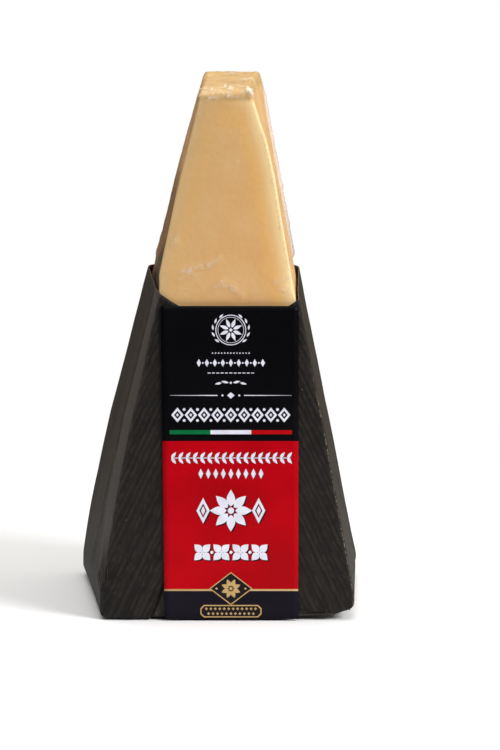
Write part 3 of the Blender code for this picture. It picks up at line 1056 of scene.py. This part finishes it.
paper_points = [vertex.co / MM for vertex in frame["nodes"]["paper_wrapper"].data.vertices]
rim_points = [point for point in paper_points if point.z > RIM_FROM]
rim_points.sort(key=angle_round)
rim_angles = [angle_round(point) for point in rim_points]
rim_heights = [point.z for point in rim_points]
top_outline = paper_ring(paper_high.z - 4)
base_outline = paper_ring(LOWEST_MEASURE)
rims = [np.interp(angle_round(point), rim_angles, rim_heights, period=2 * math.pi) for point in top_outline]
lifts = [base_lift(point.x * LIFT_INSIDE, point.y * LIFT_INSIDE) for point in base_outline]
print("rim from", round(min(rims), 1), "to", round(max(rims), 1), "mm; base lifts", round(max(lifts), 1))

# %% [markdown]
# Now the rows of a paper layer. The first few run in under the base, and the rest climb the walls.
# A row isn't level: it follows the rim's shape more and more towards the top. So each of its points
# is read from the two nearest level cross-sections, half a millimetre apart, which are kept in a
# dictionary, because the same ones are needed again and again.

# %% Rows of a paper layer
SLEEVE_ROWS = 90
LEVEL_STEP = 0.5
UNDER_INSETS = [(7.0, 0.0), (3.5, 0.0), (1.9, 0.05), (0.9, 0.45), (0.3, 1.1)]


def inset_outline(points, inset):
    """An outline moved in by a distance, by its own normals."""
    moved = []
    for index, point in enumerate(points):
        along = points[(index + 1) % len(points)] - points[index - 1]
        inward = Vector((-along.y, along.x)).normalized()
        moved.append(point + inward * inset)
    return moved


def sleeve_rows(inset, foot_rows, top_share=1.0):
    """Rows of a paper layer from under the base up to a share of the rim's height."""
    rows = []
    for under, height in foot_rows:
        ring = inset_outline(base_outline, under + inset)
        rows.append([Vector((p.x, p.y, height + inset + lift)) for p, lift in zip(ring, lifts)])
    measured = {}
    for row in range(SLEEVE_ROWS + 1):
        share = row / SLEEVE_ROWS * top_share
        spots = []
        for index, (rim_z, lift) in enumerate(zip(rims, lifts)):
            z = (2.0 + lift) * (1 - share) + (rim_z - 0.05) * share
            level = round(z / LEVEL_STEP) * LEVEL_STEP
            other = level + LEVEL_STEP if z > level else level - LEVEL_STEP
            for height in (level, other):
                if height not in measured:
                    measured[height] = inset_outline(paper_ring(height), inset)
            near = 1 - abs(z - level) / LEVEL_STEP
            flat = measured[level][index] * near + measured[other][index] * (1 - near)
            spots.append(Vector((flat.x, flat.y, z)))
        rows.append(spots)
    return rows


outer_rows = sleeve_rows(0.0, UNDER_INSETS)
print("the sleeve has", len(outer_rows), "rows of", len(outer_rows[0]), "points")

# %% [markdown]
# Paper doesn't wrinkle like cloth: it keeps flat facets between straight creases. The same ridge
# lines as for the film make them, wider and lower, as bulges or, with a negative height, as dents.
# The left front fold is cut flat into a long bevel by the outline itself, and low down the paper is
# pinched in there. A slow ripple lies over all, but not under the label, which needs a flat bed.

# %% Creases in the paper
def paper_edge(side, z, back=0.0):
    """A place on the paper's left or right front crease, some way back along the side."""
    y = paper_front + CREASE_RADIUS + back
    return Vector((side_x(paper_tree, side, y, max(z, LOWEST_MEASURE)), y, z))


PINCH = paper_edge(-1, PINCH_HEIGHT)
paper_folds = [
    (paper_edge(-1, 108, 12), paper_edge(-1, 62, 16), 7.0, -0.5),
    (paper_edge(-1, 62, 16), paper_edge(-1, 34, 22), 7.0, -0.4),
    (paper_edge(-1, 40, 26), paper_edge(-1, 16, 40), 8.0, 0.6),
    (PINCH, paper_edge(-1, 11, 60), 6.0, 0.6),
    (PINCH + Vector((-1.0, 0, 0)), PINCH + Vector((1.0, 0, 0)), 5.0, -2.0),
    (PINCH + Vector((3.0, -1.5, 0.4)), PINCH + Vector((16, -1.5, 2.0)), 3.5, 0.6),
    (PINCH + Vector((1.0, -1.5, 4)), PINCH + Vector((22, -1.5, 10)), 6.0, -0.5),
    (PINCH + Vector((3.0, -1.5, -6)), PINCH + Vector((16, -1.5, -7)), 5.0, -0.4),
    (paper_edge(1, 96, 12), paper_edge(1, 66, 30), 8.0, -0.7),
    (paper_edge(1, 60, 14), paper_edge(1, 22, 34), 9.0, 0.5),
    (paper_edge(1, 40, 50), paper_edge(1, 14, 76), 10.0, -0.6),
    (paper_edge(-1, 96, 40), paper_edge(-1, 62, 60), 12.0, -0.5),
    (Vector((-22, 50, 90)), Vector((-8, 50, 30)), 12.0, -0.7),
    (Vector((28, 50, 84)), Vector((16, 50, 24)), 12.0, -0.6),
]


def under_label(spot):
    """Whether a place is on the front where the label needs the paper flat."""
    return spot.y < paper_front + 1 and label_low.x - 1 < spot.x < label_high.x + 1


def paper_relief(spot, normal):
    """How far the paper bends off its solid."""
    if abs(normal.z) > 0.7:
        return 0.0
    ripple = 0.22 * bumps(spot, 26.0, 7.0) + 0.08 * bumps(spot, 8.0, 1.0)
    height = fold_sum(spot, paper_folds) + ripple * smooth_share(spot.z, 3, 14)
    if under_label(spot):
        height = min(0.0, height) * 0.3 - 0.02
    elif spot.y < paper_front + 1:
        height = min(height, 0.35)
    return height


print(len(paper_folds), "folds in the paper")

# %% [markdown]
# The ribs of the paper are fine, about 1.8 mm apart, and they tell how the sheet was wrapped. They
# stand upright at the middle of the back. The wrapper narrows upwards, so at each corner they
# lean further from the fold, until on the front they lean in by about 26 degrees. To get this
# right each point stores how far across the ribs of the flat sheet it lies, in millimetres. The
# material then makes a rib of every 1.8 of them.

# %% How the ribs run round the wrapper
RIB_PITCH = 1.8
SHEET_TURN = math.radians(14.0)
FRONT_LEAN = math.radians(25.5)
back_edge_low = {}
for side in (-1, 1):
    back_edge_low[side] = abs(side_x(paper_tree, side, paper_high.y - PAPER_BACK_RADIUS, LOWEST_MEASURE))


def rib_place(spot, normal):
    """The distance across the ribs of the unrolled sheet, counted from the middle of the back."""
    side = -1 if spot.x < label_middle else 1
    z = min(max(spot.z, LOWEST_MEASURE), CORNER_MEASURE)
    back_edge = abs(side_x(paper_tree, side, paper_high.y - PAPER_BACK_RADIUS, z))
    if normal.y > 0.6:
        return abs(spot.x)
    if normal.y > -0.75 and spot.y > paper_front + 1.2:
        return back_edge + (paper_high.y - spot.y) * math.cos(SHEET_TURN)
    front_edge_x = side_x(paper_tree, side, paper_front + CREASE_RADIUS, LOWEST_MEASURE)
    start = back_edge_low[side] + (paper_high.y - paper_front) * math.cos(SHEET_TURN)
    inward = side * (front_edge_x - spot.x)
    return start + inward * math.cos(FRONT_LEAN) - (spot.z - LOWEST_MEASURE) * math.sin(FRONT_LEAN)


print("at the foot the back's ribs reach", round(back_edge_low[1], 1), "mm from its middle")

# %% [markdown]
# Handling leaves its marks on the two front folds. The right one is sharp, and its black is worn off
# in specks; the left one is worn only faintly. The left one is a soft bevel, painted a little paler as
# light from the front left. Two more stored numbers say how near a place is to the wear and where the
# bevel is painted paler, and the paper's material breaks the wear up into specks.

# %% Where the paper is worn, and its bevel painted paler
WEAR = {-1: 0.12, 1: 1.0}
WEAR_WIDE = 0.36
WEAR_INWARD = 0.35
WEAR_BACKWARD = 0.38
BEVEL_REACH = 13.0


def lit_bevel_facet(spot, normal):
    """1 on the flat cut of the left front fold, which is painted a little paler as light from the front left.
    """
    facing = smooth_share(-normal.x, 0.5, 0.8)
    near_front = smooth_share(paper_front + BEVEL_REACH - spot.y, 0, 4)
    return facing * near_front * smooth_share(spot.z, 12, 34)


def worn_line(side, z):
    """Where the paper's left or right front fold is worn most at one height, seen from above."""
    x = side_x(paper_tree, side, paper_front + CREASE_RADIUS, z)
    return Vector((x - side * WEAR_INWARD, paper_front + WEAR_BACKWARD))


def crease_wear(spot, normal):
    """1 on the worn right front fold, nearly 0 on the soft left one."""
    z = min(max(spot.z, LOWEST_MEASURE), CORNER_MEASURE)
    if spot.y > paper_front + 6:
        return 0.0
    worn = 0.0
    for side in (-1, 1):
        away = (Vector((spot.x, spot.y)) - worn_line(side, z)).length
        fading = 0.35 + 0.65 * smooth_share(100 - spot.z, 0, 30)
        worn = max(worn, WEAR[side] * fading * math.exp(-(away / WEAR_WIDE) ** 2))
    return worn


for z in (40.0, 95.0):
    right_fold = Vector((*worn_line(1, z), z))
    print("wear on the right fold", z, "mm up:", round(crease_wear(right_fold, None), 2))

# %% [markdown]
# Black paper shows its fibres and its wear. The ribs are a bump and a faint change of tone. Fine
# noise makes the fibres, rare pale specks are dust and scuffs, and along the sharp folds the black
# is rubbed through to the brown. The inside of the sheet and its cut edge are plain brown paper.

# %% Paper materials
def ribbed_paper(name, dark, light, rib_tone):
    """Black ribbed paper between two tones; its ribs are a little paler."""
    material, shader = new_material(name, Roughness=0.6, Specular_IOR_Level=0.22)
    across = read_attribute(material, "rib")
    slow_wobble = times(material, speckle(material, 70.0), 1.2)
    quick_wobble = times(material, speckle(material, 420.0, detail=1.0), 0.9)
    wobble = plus(material, slow_wobble, quick_wobble)
    phase = times(material, plus(material, across, wobble), 2 * math.pi / RIB_PITCH)
    wave = combined(material, "SINE", phase, 0.0)
    rib_height = times(material, plus(material, wave, 1.0), 0.5)
    fibres = speckle(material, 1400.0, detail=4.0, roughness=0.7)
    blotches = spread(material, speckle(material, 45.0, detail=3.0), 0.35, 0.7)
    tone = mixed(material, blotches, dark, light)
    broken_ribs = spread(material, speckle(material, 300.0, detail=2.0), 0.44, 0.62)
    rib_shade = times(material, spread(material, rib_height, 0.1, 0.9), broken_ribs)
    tone = mixed(material, times(material, rib_shade, 0.55), tone, rib_tone)
    along_ribs = {"W": across, "Scale": 0.45, "Detail": 2.0}
    lines = add(material, "ShaderNodeTexNoise", along_ribs, noise_dimensions="1D").outputs["Fac"]
    tone = mixed(material, spread(material, lines, 0.45, 0.7, 0.0, 0.35), tone, rib_tone)
    tone = mixed(material, spread(material, fibres, 0.5, 0.8, 0.0, 0.2), tone, linear(84, 78, 72))
    # Painted light: the bevel of the left front fold is paler.
    lit_bevel = times(material, read_attribute(material, "lit_bevel"), 0.8)
    tone = mixed(material, lit_bevel, tone, linear(82, 77, 74))
    rubbed_spots = spread(material, speckle(material, 1100.0, detail=3.0, roughness=0.8), 0.44, 0.58)
    rubbed = times(material, read_attribute(material, "worn"), rubbed_spots)
    tone = mixed(material, spread(material, rubbed, 0.25, 0.9, 0.0, 0.7), tone, linear(140, 122, 102))
    dust = add(material, "ShaderNodeTexVoronoi", {
        "Vector": add(material, "ShaderNodeTexCoord").outputs["Object"], "Scale": 160.0}).outputs["Distance"]
    tone = mixed(material, spread(material, dust, 0.02, 0.035, 0.4, 0.0), tone, linear(150, 145, 138))
    # Painted shadow: black next to the notch's left edge.
    gap = spread(material, read_attribute(material, "gap"), 0.8, 1.5, 0.0, 1.0)
    feed(material, shader, Base_Color=mixed(material, gap, linear(3, 2, 2), tone))
    surface = plus(material, rib_height, times(material, fibres, 0.5))
    feed(material, shader, Normal=bumped(material, surface, 0.00014, 0.7))
    feed(material, shader, Roughness=spread(material, fibres, 0.3, 0.7, 0.55, 0.75))
    return material


black_paper = ribbed_paper("black_ribbed_paper", linear(12, 9, 7), linear(21, 17, 14), linear(42, 36, 31))
base_paper = ribbed_paper("folded_base_paper", linear(46, 42, 38), linear(56, 51, 46), linear(60, 55, 49))

brown_paper, brown_shader = new_material("brown_paper_inside", Roughness=0.8)
brown_tone = mixed(brown_paper, spread(brown_paper, speckle(brown_paper, 700.0), 0.3, 0.7),
                   linear(40, 24, 10), linear(62, 40, 20))
feed(brown_paper, brown_shader, Base_Color=brown_tone)
cut_edge, cut_shader = new_material("cut_paper_edge", Roughness=0.8)
cut_tone = mixed(cut_edge, spread(cut_edge, speckle(cut_edge, 900.0), 0.3, 0.7),
                 linear(62, 48, 36), linear(104, 84, 62))
feed(cut_edge, cut_shader, Base_Color=cut_tone)
print("the black paper takes", len(black_paper.node_tree.nodes), "nodes")

# %% [markdown]
# At the bottom of the front the outer layer is cut away in a notch, half hidden by the label, and
# the layer folded up from the base shows behind it. A Boolean would need a closed body, and the
# sleeve is an open sheet. So it is cut along the notch's straight edges with Blender's bisect, and
# the faces inside the notch are deleted.

# %% The notch
NOTCH = [(-24.0, -1.0), (-23.6, 0.4), (-18.8, 13.2), (-13.0, 19.0), (18.0, 12.0), (27.6, 3.7),
         (33.0, 3.1), (39.5, 2.7), (43.0, -1.0)]
NOTCH_DEEPEST = paper_front + 8
NOTCH_HIGHEST = 24.0
SAME_PLACE = 1e-7
NO_GAP = 2.0


def inside_notch(x, z):
    """Whether a place on the front lies inside the notch's outline."""
    inside = False
    for (x0, z0), (x1, z1) in zip(NOTCH, NOTCH[1:] + NOTCH[:1]):
        if (z0 > z) != (z1 > z) and x < x0 + (z - z0) * (x1 - x0) / (z1 - z0):
            inside = not inside
    return inside


def cut_notch(mesh):
    """Cut the notch out of a sleeve mesh."""
    work = bmesh.new()
    work.from_mesh(mesh)
    for (x0, z0), (x1, z1) in zip(NOTCH, NOTCH[1:]):
        low = []
        for face in work.faces:
            middle = face.calc_center_median() / MM
            if middle.y < NOTCH_DEEPEST and middle.z < NOTCH_HIGHEST:
                low.append(face)
        parts = set(low) | {e for f in low for e in f.edges} | {v for f in low for v in f.verts}
        spot = Vector((x0, 0, z0)) * MM
        normal = Vector((z1 - z0, 0, x0 - x1))
        bmesh.ops.bisect_plane(work, geom=list(parts), dist=SAME_PLACE, plane_co=spot, plane_no=normal)
    gone = []
    for face in work.faces:
        middle = face.calc_center_median() / MM
        if middle.y < NOTCH_DEEPEST and inside_notch(middle.x, middle.z):
            gone.append(face)
    bmesh.ops.delete(work, geom=gone, context="FACES")
    bmesh.ops.remove_doubles(work, verts=work.verts, dist=SAME_PLACE)
    work.to_mesh(mesh)
    work.free()


def notch_depth(x, z):
    """How far inside the notch's left edge a place on the front lies."""
    (x0, z0), (x1, z1) = NOTCH[1:3]
    return ((x - x0) * (z1 - z0) - (z - z0) * (x1 - x0)) / math.hypot(x1 - x0, z1 - z0)


print("the notch is", NOTCH[-1][0] - NOTCH[0][0], "mm wide at the foot")

# %% [markdown]
# Both layers of the wrapper are finished alike. Edges sharper than 40 degrees are shaded as creases.
# Solidify gives the sheet its thickness, and its two material offsets give the inside and the cut
# edge their own paper. All relief is added before the cut, so the notch's edges stay clean.

# %% Finish the sleeve
def paper_layer(name, mesh, outside):
    """A layer of the wrapper, with its inside and its cut edge."""
    mesh.shade_smooth()
    mesh.set_sharp_from_angle(angle=math.radians(40))
    layer = place(name, mesh, outside, brown_paper, cut_edge)
    sheet = layer.modifiers.new("thickness", "SOLIDIFY")
    sheet.thickness = PAPER_THICK * MM
    sheet.offset = -1
    sheet.material_offset = 1
    sheet.material_offset_rim = 2
    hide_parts("paper_wrapper")


sleeve_mesh = mesh_from_rows("paper_sleeve", outer_rows)
write_attribute(sleeve_mesh, "rib", rib_place)
write_attribute(sleeve_mesh, "worn", crease_wear)
write_attribute(sleeve_mesh, "lit_bevel", lit_bevel_facet)
write_attribute(sleeve_mesh, "gap", lambda spot, normal: NO_GAP)
displace(sleeve_mesh, paper_relief)
cut_notch(sleeve_mesh)
paper_layer("paper_sleeve", sleeve_mesh, black_paper)

# %% [markdown]
# The layer behind is the folded base: a shallow tray of the same paper inside the sleeve. Its front
# wall is set back by about a millimetre. On the real wrapper no light gets in behind the notch's left
# edge, and a dark line shows there. One millimetre of depth gives too faint a shadow for that, so the
# wall also stores how far inside that edge a place lies, and the paper's material is black next to it.

# %% The folded base
BASE_WALL_SHARE = 0.26
BASE_SETBACK = 0.7
base_feet = [(5.0, 0.0), (1.9, 0.05), (0.9, 0.45), (0.3, 1.1)]
base_mesh = mesh_from_rows("paper_base", sleeve_rows(BASE_SETBACK, base_feet, BASE_WALL_SHARE), bottom=True)
write_attribute(base_mesh, "rib", lambda spot, normal: spot.x * 0.97 + spot.z * 0.25)
write_attribute(base_mesh, "worn", lambda spot, normal: 0.0)
write_attribute(base_mesh, "lit_bevel", lambda spot, normal: 0.0)


def gap_depth(spot, normal):
    """How far inside the notch's left edge a place on the front wall lies."""
    return notch_depth(spot.x, spot.z) if normal.y < -0.5 else NO_GAP


def base_relief(spot, normal):
    """A slow ripple, and a front wall that stands a little further back."""
    if abs(normal.z) > 0.7:
        return 0.0
    back = 0.35 * smooth_share(-normal.y, 0.5, 0.9)
    return 0.12 * bumps(spot, 12.0, 3.0) - 0.12 - back + min(0.0, fold_sum(spot, paper_folds))


write_attribute(base_mesh, "gap", gap_depth)
displace(base_mesh, base_relief)
paper_layer("paper_base", base_mesh, base_paper)

# %% [markdown]
# The label is a long strip of coated paper with four fields: black, red, a thin gold line and a
# dark band. A picture could carry the print, but fields and shapes as real geometry stay sharp at
# any distance. Coated paper has a low soft gloss and is slightly mottled, so each field is a mix of
# two near tones. A faint curl at the edges keeps the sheet from looking machined.

# %% The label's paper
def label_y(x, z):
    """Where the label's printed face lies: nearly flat, its edges very slightly lifted."""
    from_edge = min(x - label_low.x, label_high.x - x)
    curl = 0.1 * math.exp(-max(0.0, from_edge) / 1.5)
    wave = 0.07 * noise.noise(Vector((x / 16, 0.0, z / 22))) * smooth_share(z, 20, 30)
    return label_low.y - curl + wave - 0.05


def label_paper(name, colour, darker, rough=0.36):
    """Coated label paper, slightly mottled where it isn't pressed flat."""
    material, shader = new_material(name, Roughness=rough, Specular_IOR_Level=0.06)
    mottle = spread(material, speckle(material, 38.0, detail=2.0), 0.3, 0.7)
    feed(material, shader, Base_Color=mixed(material, mottle, colour, darker))
    feed(material, shader, Normal=bumped(material, speckle(material, 60.0, detail=1.0), 0.0003, 0.1))
    fine = speckle(material, 900.0)
    feed(material, shader, Roughness=spread(material, fine, 0.3, 0.7, rough - 0.05, rough + 0.08))
    return material


dark_band = label_paper("label_dark_band", linear(24, 21, 30), linear(19, 17, 26))
gold_line = label_paper("label_gold_line", linear(184, 152, 104), linear(200, 170, 122), 0.3)
red_field = label_paper("label_red", linear(180, 0, 16), linear(160, 0, 11))
black_field = label_paper("label_black", linear(5, 5, 8), linear(9, 9, 13))
print("the label curls forward by", round(label_y(label_middle, 5.0) - label_y(label_low.x, 5.0), 2), "mm")

# %% [markdown]
# The sheet is a grid with a row of points at every change of colour, and each of its faces gets the
# material of the field that it lies in. Its left edge leans in a little towards the top.

# %% The label sheet
FIELD_HEIGHTS = [label_low.z, 10.5, 11.15, 63.0, label_high.z]
LABEL_COLUMNS = 24
LABEL_ROW = 2.0
LABEL_THICK = 0.2
LABEL_TAPER = 1.1
heights = []
for low, high in zip(FIELD_HEIGHTS, FIELD_HEIGHTS[1:]):
    steps = max(1, int((high - low) / LABEL_ROW))
    heights += [low + (high - low) * step / steps for step in range(steps)]
heights.append(label_high.z)
label_points = []
for z in heights:
    left_edge = label_low.x + LABEL_TAPER * (label_high.z - z) / label_high.z
    for column in range(LABEL_COLUMNS + 1):
        x = left_edge + (label_high.x - left_edge) * column / LABEL_COLUMNS
        label_points.append((x * MM, label_y(x, z) * MM, z * MM))
label_faces = []
label_fields = []
for row in range(len(heights) - 1):
    middle_z = (heights[row] + heights[row + 1]) / 2
    for column in range(LABEL_COLUMNS):
        corner = row * (LABEL_COLUMNS + 1) + column
        label_faces.append((corner, corner + 1, corner + LABEL_COLUMNS + 2, corner + LABEL_COLUMNS + 1))
        label_fields.append(sum(middle_z > height for height in FIELD_HEIGHTS[1:-1]))
label_mesh = bpy.data.meshes.new("label_sheet")
label_mesh.from_pydata(label_points, [], label_faces)
label_mesh.shade_smooth()
label_sheet = place("label_sheet", label_mesh, dark_band, gold_line, red_field, black_field)
label_mesh.polygons.foreach_set("material_index", label_fields)
label_body = label_sheet.modifiers.new("thickness", "SOLIDIFY")
label_body.thickness = LABEL_THICK * MM
label_body.offset = -1
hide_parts("label")

# %% [markdown]
# The print is ornament only: rosettes, lozenges, leaves and rules, in rows of the same weight as a
# printed label has. Each shape is a flat outline in the label's own plane, and a few small functions
# draw them. They could be curves, but lists of corners are easy to repeat, shift and count.

# %% Shapes to print with
BAR_PIECE = 2.0


def disc(x, z, radius, sides=28):
    """A round dot."""
    turns = [2 * math.pi * step / sides for step in range(sides)]
    return [[(x + radius * math.cos(t), z + radius * math.sin(t)) for t in turns]]


def ring(x, z, outer, inner, sides=48):
    """A round band, as four-sided pieces."""
    pieces = []
    for step in range(sides):
        a, b = [2 * math.pi * (step + extra) / sides for extra in (0, 1)]
        pieces.append([(x + r * math.cos(t), z + r * math.sin(t))
                       for r, t in ((outer, a), (outer, b), (inner, b), (inner, a))])
    return pieces


def lozenge(x, z, wide, high):
    """A diamond."""
    return [[(x - wide / 2, z), (x, z - high / 2), (x + wide / 2, z), (x, z + high / 2)]]


def lozenge_frame(x, z, wide, high, line):
    """A diamond's outline, as four pieces."""
    tips = [(-0.5, 0), (0, -0.5), (0.5, 0), (0, 0.5)]
    small = 1 - 2 * line / min(wide, high)
    pieces = []
    for (ax, az), (bx, bz) in zip(tips, tips[1:] + tips[:1]):
        pieces.append([(x + ax * wide, z + az * high), (x + bx * wide, z + bz * high),
                       (x + bx * wide * small, z + bz * high * small),
                       (x + ax * wide * small, z + az * high * small)])
    return pieces


def bar(x0, x1, z, high, taper=0.0):
    """A level rule in short pieces, which follow the paper; taper thins its x1 end."""
    count = max(1, round(abs(x1 - x0) / BAR_PIECE))
    pieces = []
    for step in range(count):
        a, b = step / count, (step + 1) / count
        xa, xb = x0 + (x1 - x0) * a, x0 + (x1 - x0) * b
        ha, hb = high * (1 - taper * a) / 2, high * (1 - taper * b) / 2
        pieces.append([(xa, z - ha), (xb, z - hb), (xb, z + hb), (xa, z + ha)])
    return pieces


def leaf(x, z, angle, length, wide, steps=10):
    """A pointed leaf from (x, z) in the direction of an angle in degrees."""
    turn = math.radians(angle)
    edge = []
    for step in range(2 * steps):
        share = step / steps if step < steps else 2 - step / steps
        out = (1 if step < steps else -1) * wide / 2 * math.sin(math.pi * share ** 0.8)
        along = length * share
        edge.append((x + along * math.cos(turn) - out * math.sin(turn),
                     z + along * math.sin(turn) + out * math.cos(turn)))
    return [edge]


def flower(x, z, petals, inner, outer, wide, turned=0.0):
    """Petals round a middle point."""
    shapes = []
    for count in range(petals):
        angle = 360 * count / petals + turned
        turn = math.radians(angle)
        shapes += leaf(x + inner * math.cos(turn), z + inner * math.sin(turn), angle, outer - inner, wide)
    return shapes


print("a flower of eight petals is", len(flower(0, 0, 8, 1, 4, 1)), "outlines")

# %% [markdown]
# Printing is one function for all: it turns a list of outlines into faces just in front of the
# label and gives them the thickness of ink. Where one colour is printed over another, the upper one
# lies a layer higher, so that no two faces share a plane and flicker.

# %% Lay the ink
INK = 0.03


def lay_ink(name, shapes, material, layer=1):
    """Lay flat outlines on the label as thin ink; a higher layer covers a lower one."""
    work = bmesh.new()
    for shape in shapes:
        area = sum(a[0] * b[1] - b[0] * a[1] for a, b in zip(shape, shape[1:] + shape[:1]))
        ordered = shape if area > 0 else shape[::-1]
        corners = []
        for x, z in ordered:
            corners.append(work.verts.new(Vector((x, label_y(x, z) - INK * layer, z)) * MM))
        work.faces.new(corners)
    mesh = bpy.data.meshes.new(name)
    work.to_mesh(mesh)
    work.free()
    piece = place(name, mesh, material)
    body = piece.modifiers.new("thickness", "SOLIDIFY")
    body.thickness = 0.8 * INK * MM
    body.offset = -1


def ink(name, colour, rough=0.4, metallic=0.0):
    """Printing ink with a faint unevenness."""
    material, shader = new_material(name, Roughness=rough, Metallic=metallic, Specular_IOR_Level=0.12)
    patch = spread(material, speckle(material, 260.0, detail=2.0), 0.3, 0.7, 0.0, 1.0)
    thin = tuple(channel * 0.88 for channel in colour[:3]) + (1.0,)
    feed(material, shader, Base_Color=mixed(material, patch, colour, thin))
    return material


print("one layer of ink is", INK, "mm thick")

# %% [markdown]
# The upper, black field: a rosette between two sprigs at the top, small rows of dots and diamonds,
# two rules that meet at a small diamond, one bold band of diamonds and the three-colour stripe.

# %% Print on the black field
centre = label_middle + 0.4
ROSETTE_Z = 101.6
white_shapes = []
white_shapes += ring(centre, ROSETTE_Z, 5.3, 5.0) + ring(centre, ROSETTE_Z, 4.5, 4.35)
white_shapes += flower(centre, ROSETTE_Z, 8, 0.9, 4.1, 1.2, 22.5) + disc(centre, ROSETTE_Z, 0.55)
for side in (-1, 1):
    for count in range(5):
        rise = 0.55 * math.pi * (count / 4 - 0.5)
        x = centre + side * 6.1 * math.cos(rise)
        z = ROSETTE_Z + 6.1 * math.sin(rise) * 0.9
        white_shapes += leaf(x, z, 90 - side * (58 - 26 * count), 1.9, 0.7)
for count in range(13):
    white_shapes += disc(centre + (count - 6) * 1.05, 93.6, 0.24, 12)
for count in range(9):
    x = centre + (count - 4) * 2.75
    white_shapes += lozenge(x, 90.2, 1.5, 2.7)
    if count < 8:
        white_shapes += disc(x + 1.375, 90.2, 0.3, 12)
for count in range(11):
    white_shapes += bar(centre + (count - 5) * 1.5 - 0.5, centre + (count - 5) * 1.5 + 0.5, 86.7, 0.3)
for side in (-1, 1):
    white_shapes += leaf(centre + side * 0.8, 83.3, 90 - side * 78, 2.6, 0.8)
    white_shapes += leaf(centre + side * 3.2, 83.3, 90 - side * 102, 2.4, 0.8)
    white_shapes += bar(centre + side * 4.6, centre + side * 21.0, 78.9, 0.34, 0.8)
    white_shapes += disc(centre + side * 2.9, 78.9, 0.35, 12)
white_shapes += disc(centre, 83.3, 0.4, 16) + lozenge(centre, 78.9, 2.6, 2.2)
BAND_UNITS = 9
for count in range(BAND_UNITS):
    x = centre + (count - (BAND_UNITS - 1) / 2) * 4.6
    white_shapes += lozenge_frame(x, 72.1, 4.3, 5.2, 0.95) + lozenge(x, 72.1, 1.0, 1.2)
    if count < BAND_UNITS - 1:
        for z in (70.2, 74.0):
            white_shapes += disc(x + 2.3, z, 0.5, 16)
white_ink = ink("white_ink", linear(228, 228, 240))
lay_ink("print_white_upper", white_shapes, white_ink)
STRIPE = 14.07
stripe_left = centre - 1.5 * STRIPE
stripe_inks = [ink("green_ink", linear(0, 110, 62)), white_ink, ink("red_ink", linear(180, 0, 10))]
for index, stripe_ink in enumerate(stripe_inks):
    x0 = stripe_left + index * STRIPE
    lay_ink(f"print_stripe_{index}", bar(x0, x0 + STRIPE, 66.1, 1.45), stripe_ink)

# %% [markdown]
# The red field: a garland, a short band of diamonds, one large flower between two diamonds, and a
# row of four-petalled flowers. The large shapes have a soft dark print shadow below and to the
# right, which is the same outlines laid first in dark red and moved a little.

# %% Print on the red field
garland = []
GARLAND_LEAVES = 17
for count in range(GARLAND_LEAVES):
    x = centre - 20.2 + 40.0 * count / (GARLAND_LEAVES - 1)
    garland += leaf(x - 0.3, 57.1, 52, 2.6, 1.1) + leaf(x - 0.3, 57.1, -52, 2.6, 1.1)
garland += bar(centre - 20.4, centre + 20.6, 57.1, 0.28)
for count in range(9):
    garland += lozenge(centre + (count - 4) * 2.6, 51.6, 1.7, 3.6)
big = flower(centre, 38.7, 8, 1.5, 7.3, 3.0) + disc(centre, 38.7, 1.1)
for side in (-1, 1):
    x = centre + side * 9.6
    big += lozenge_frame(x, 38.7, 4.6, 9.0, 1.0) + lozenge(x, 38.7, 1.5, 3.2)
for count in range(4):
    x = centre + (count - 1.5) * 6.6
    big += flower(x, 24.1, 4, 0.3, 3.9, 2.6, 45) + disc(x, 24.1, 0.5)
    if count < 3:
        big += disc(x + 3.3, 24.1, 0.55, 16)
shadow_shapes = [[(x + 0.45, z - 0.45) for x, z in shape] for shape in big]
shadow_shapes += [[(x + 0.2, z - 0.2) for x, z in shape] for shape in garland]
shadow_ink = ink("shadow_ink", linear(48, 0, 6))
lay_ink("print_shadow", shadow_shapes, shadow_ink)
lay_ink("print_white_lower", garland + big, white_ink, layer=2)

# %% [markdown]
# Across the gold line sits a dark diamond with a gold outline and a gold flower in it. Below it on
# the dark band is a plate with cut corners and two rows of small diamonds. Both are plain ornament.

# %% Diamond and plate
DIAMOND_Z = 11.35
DIAMOND_WIDE, DIAMOND_HIGH = 15.0, 11.6
PLATE_LOW, PLATE_HIGH, PLATE_HALF, PLATE_CUT, PLATE_LINE = 1.2, 5.6, 10.6, 1.2, 0.4
gold_ink = ink("gold_ink", linear(200, 166, 110), 0.3, 0.35)
plate_ink = ink("plate_ink", linear(22, 19, 24))


def cut_plate(inset):
    """A rectangle with cut corners, round the label's middle."""
    half, low, high = PLATE_HALF - inset, PLATE_LOW + inset, PLATE_HIGH - inset
    nip = PLATE_CUT - 0.4 * inset
    right = [(half - nip, low), (half, low + nip), (half, high - nip), (half - nip, high)]
    return [[(centre + x, z) for x, z in right] + [(centre - x, z) for x, z in right[::-1]]]


lay_ink("seal_dark", lozenge(centre, DIAMOND_Z, DIAMOND_WIDE, DIAMOND_HIGH), plate_ink, layer=1)
seal_gold = lozenge_frame(centre, DIAMOND_Z, DIAMOND_WIDE, DIAMOND_HIGH, 0.42)
seal_gold += flower(centre, DIAMOND_Z, 8, 0.8, 3.5, 1.5, 22.5) + disc(centre, DIAMOND_Z, 0.55)
for side in (-1, 1):
    seal_gold += lozenge(centre + side * 5.0, DIAMOND_Z, 1.0, 0.8)
lay_ink("seal_gold", seal_gold, gold_ink, layer=2)
lay_ink("plate_rim", cut_plate(0.0), gold_ink, layer=3)
lay_ink("plate_field", cut_plate(PLATE_LINE), plate_ink, layer=4)
plate_dots = []
for row, (dots, z) in enumerate(((12, 4.25), (11, 2.55))):
    for count in range(dots):
        plate_dots += lozenge(centre + (count - (dots - 1) / 2) * 1.55, z, 1.0, 1.05)
lay_ink("plate_dots", plate_dots, gold_ink, layer=5)
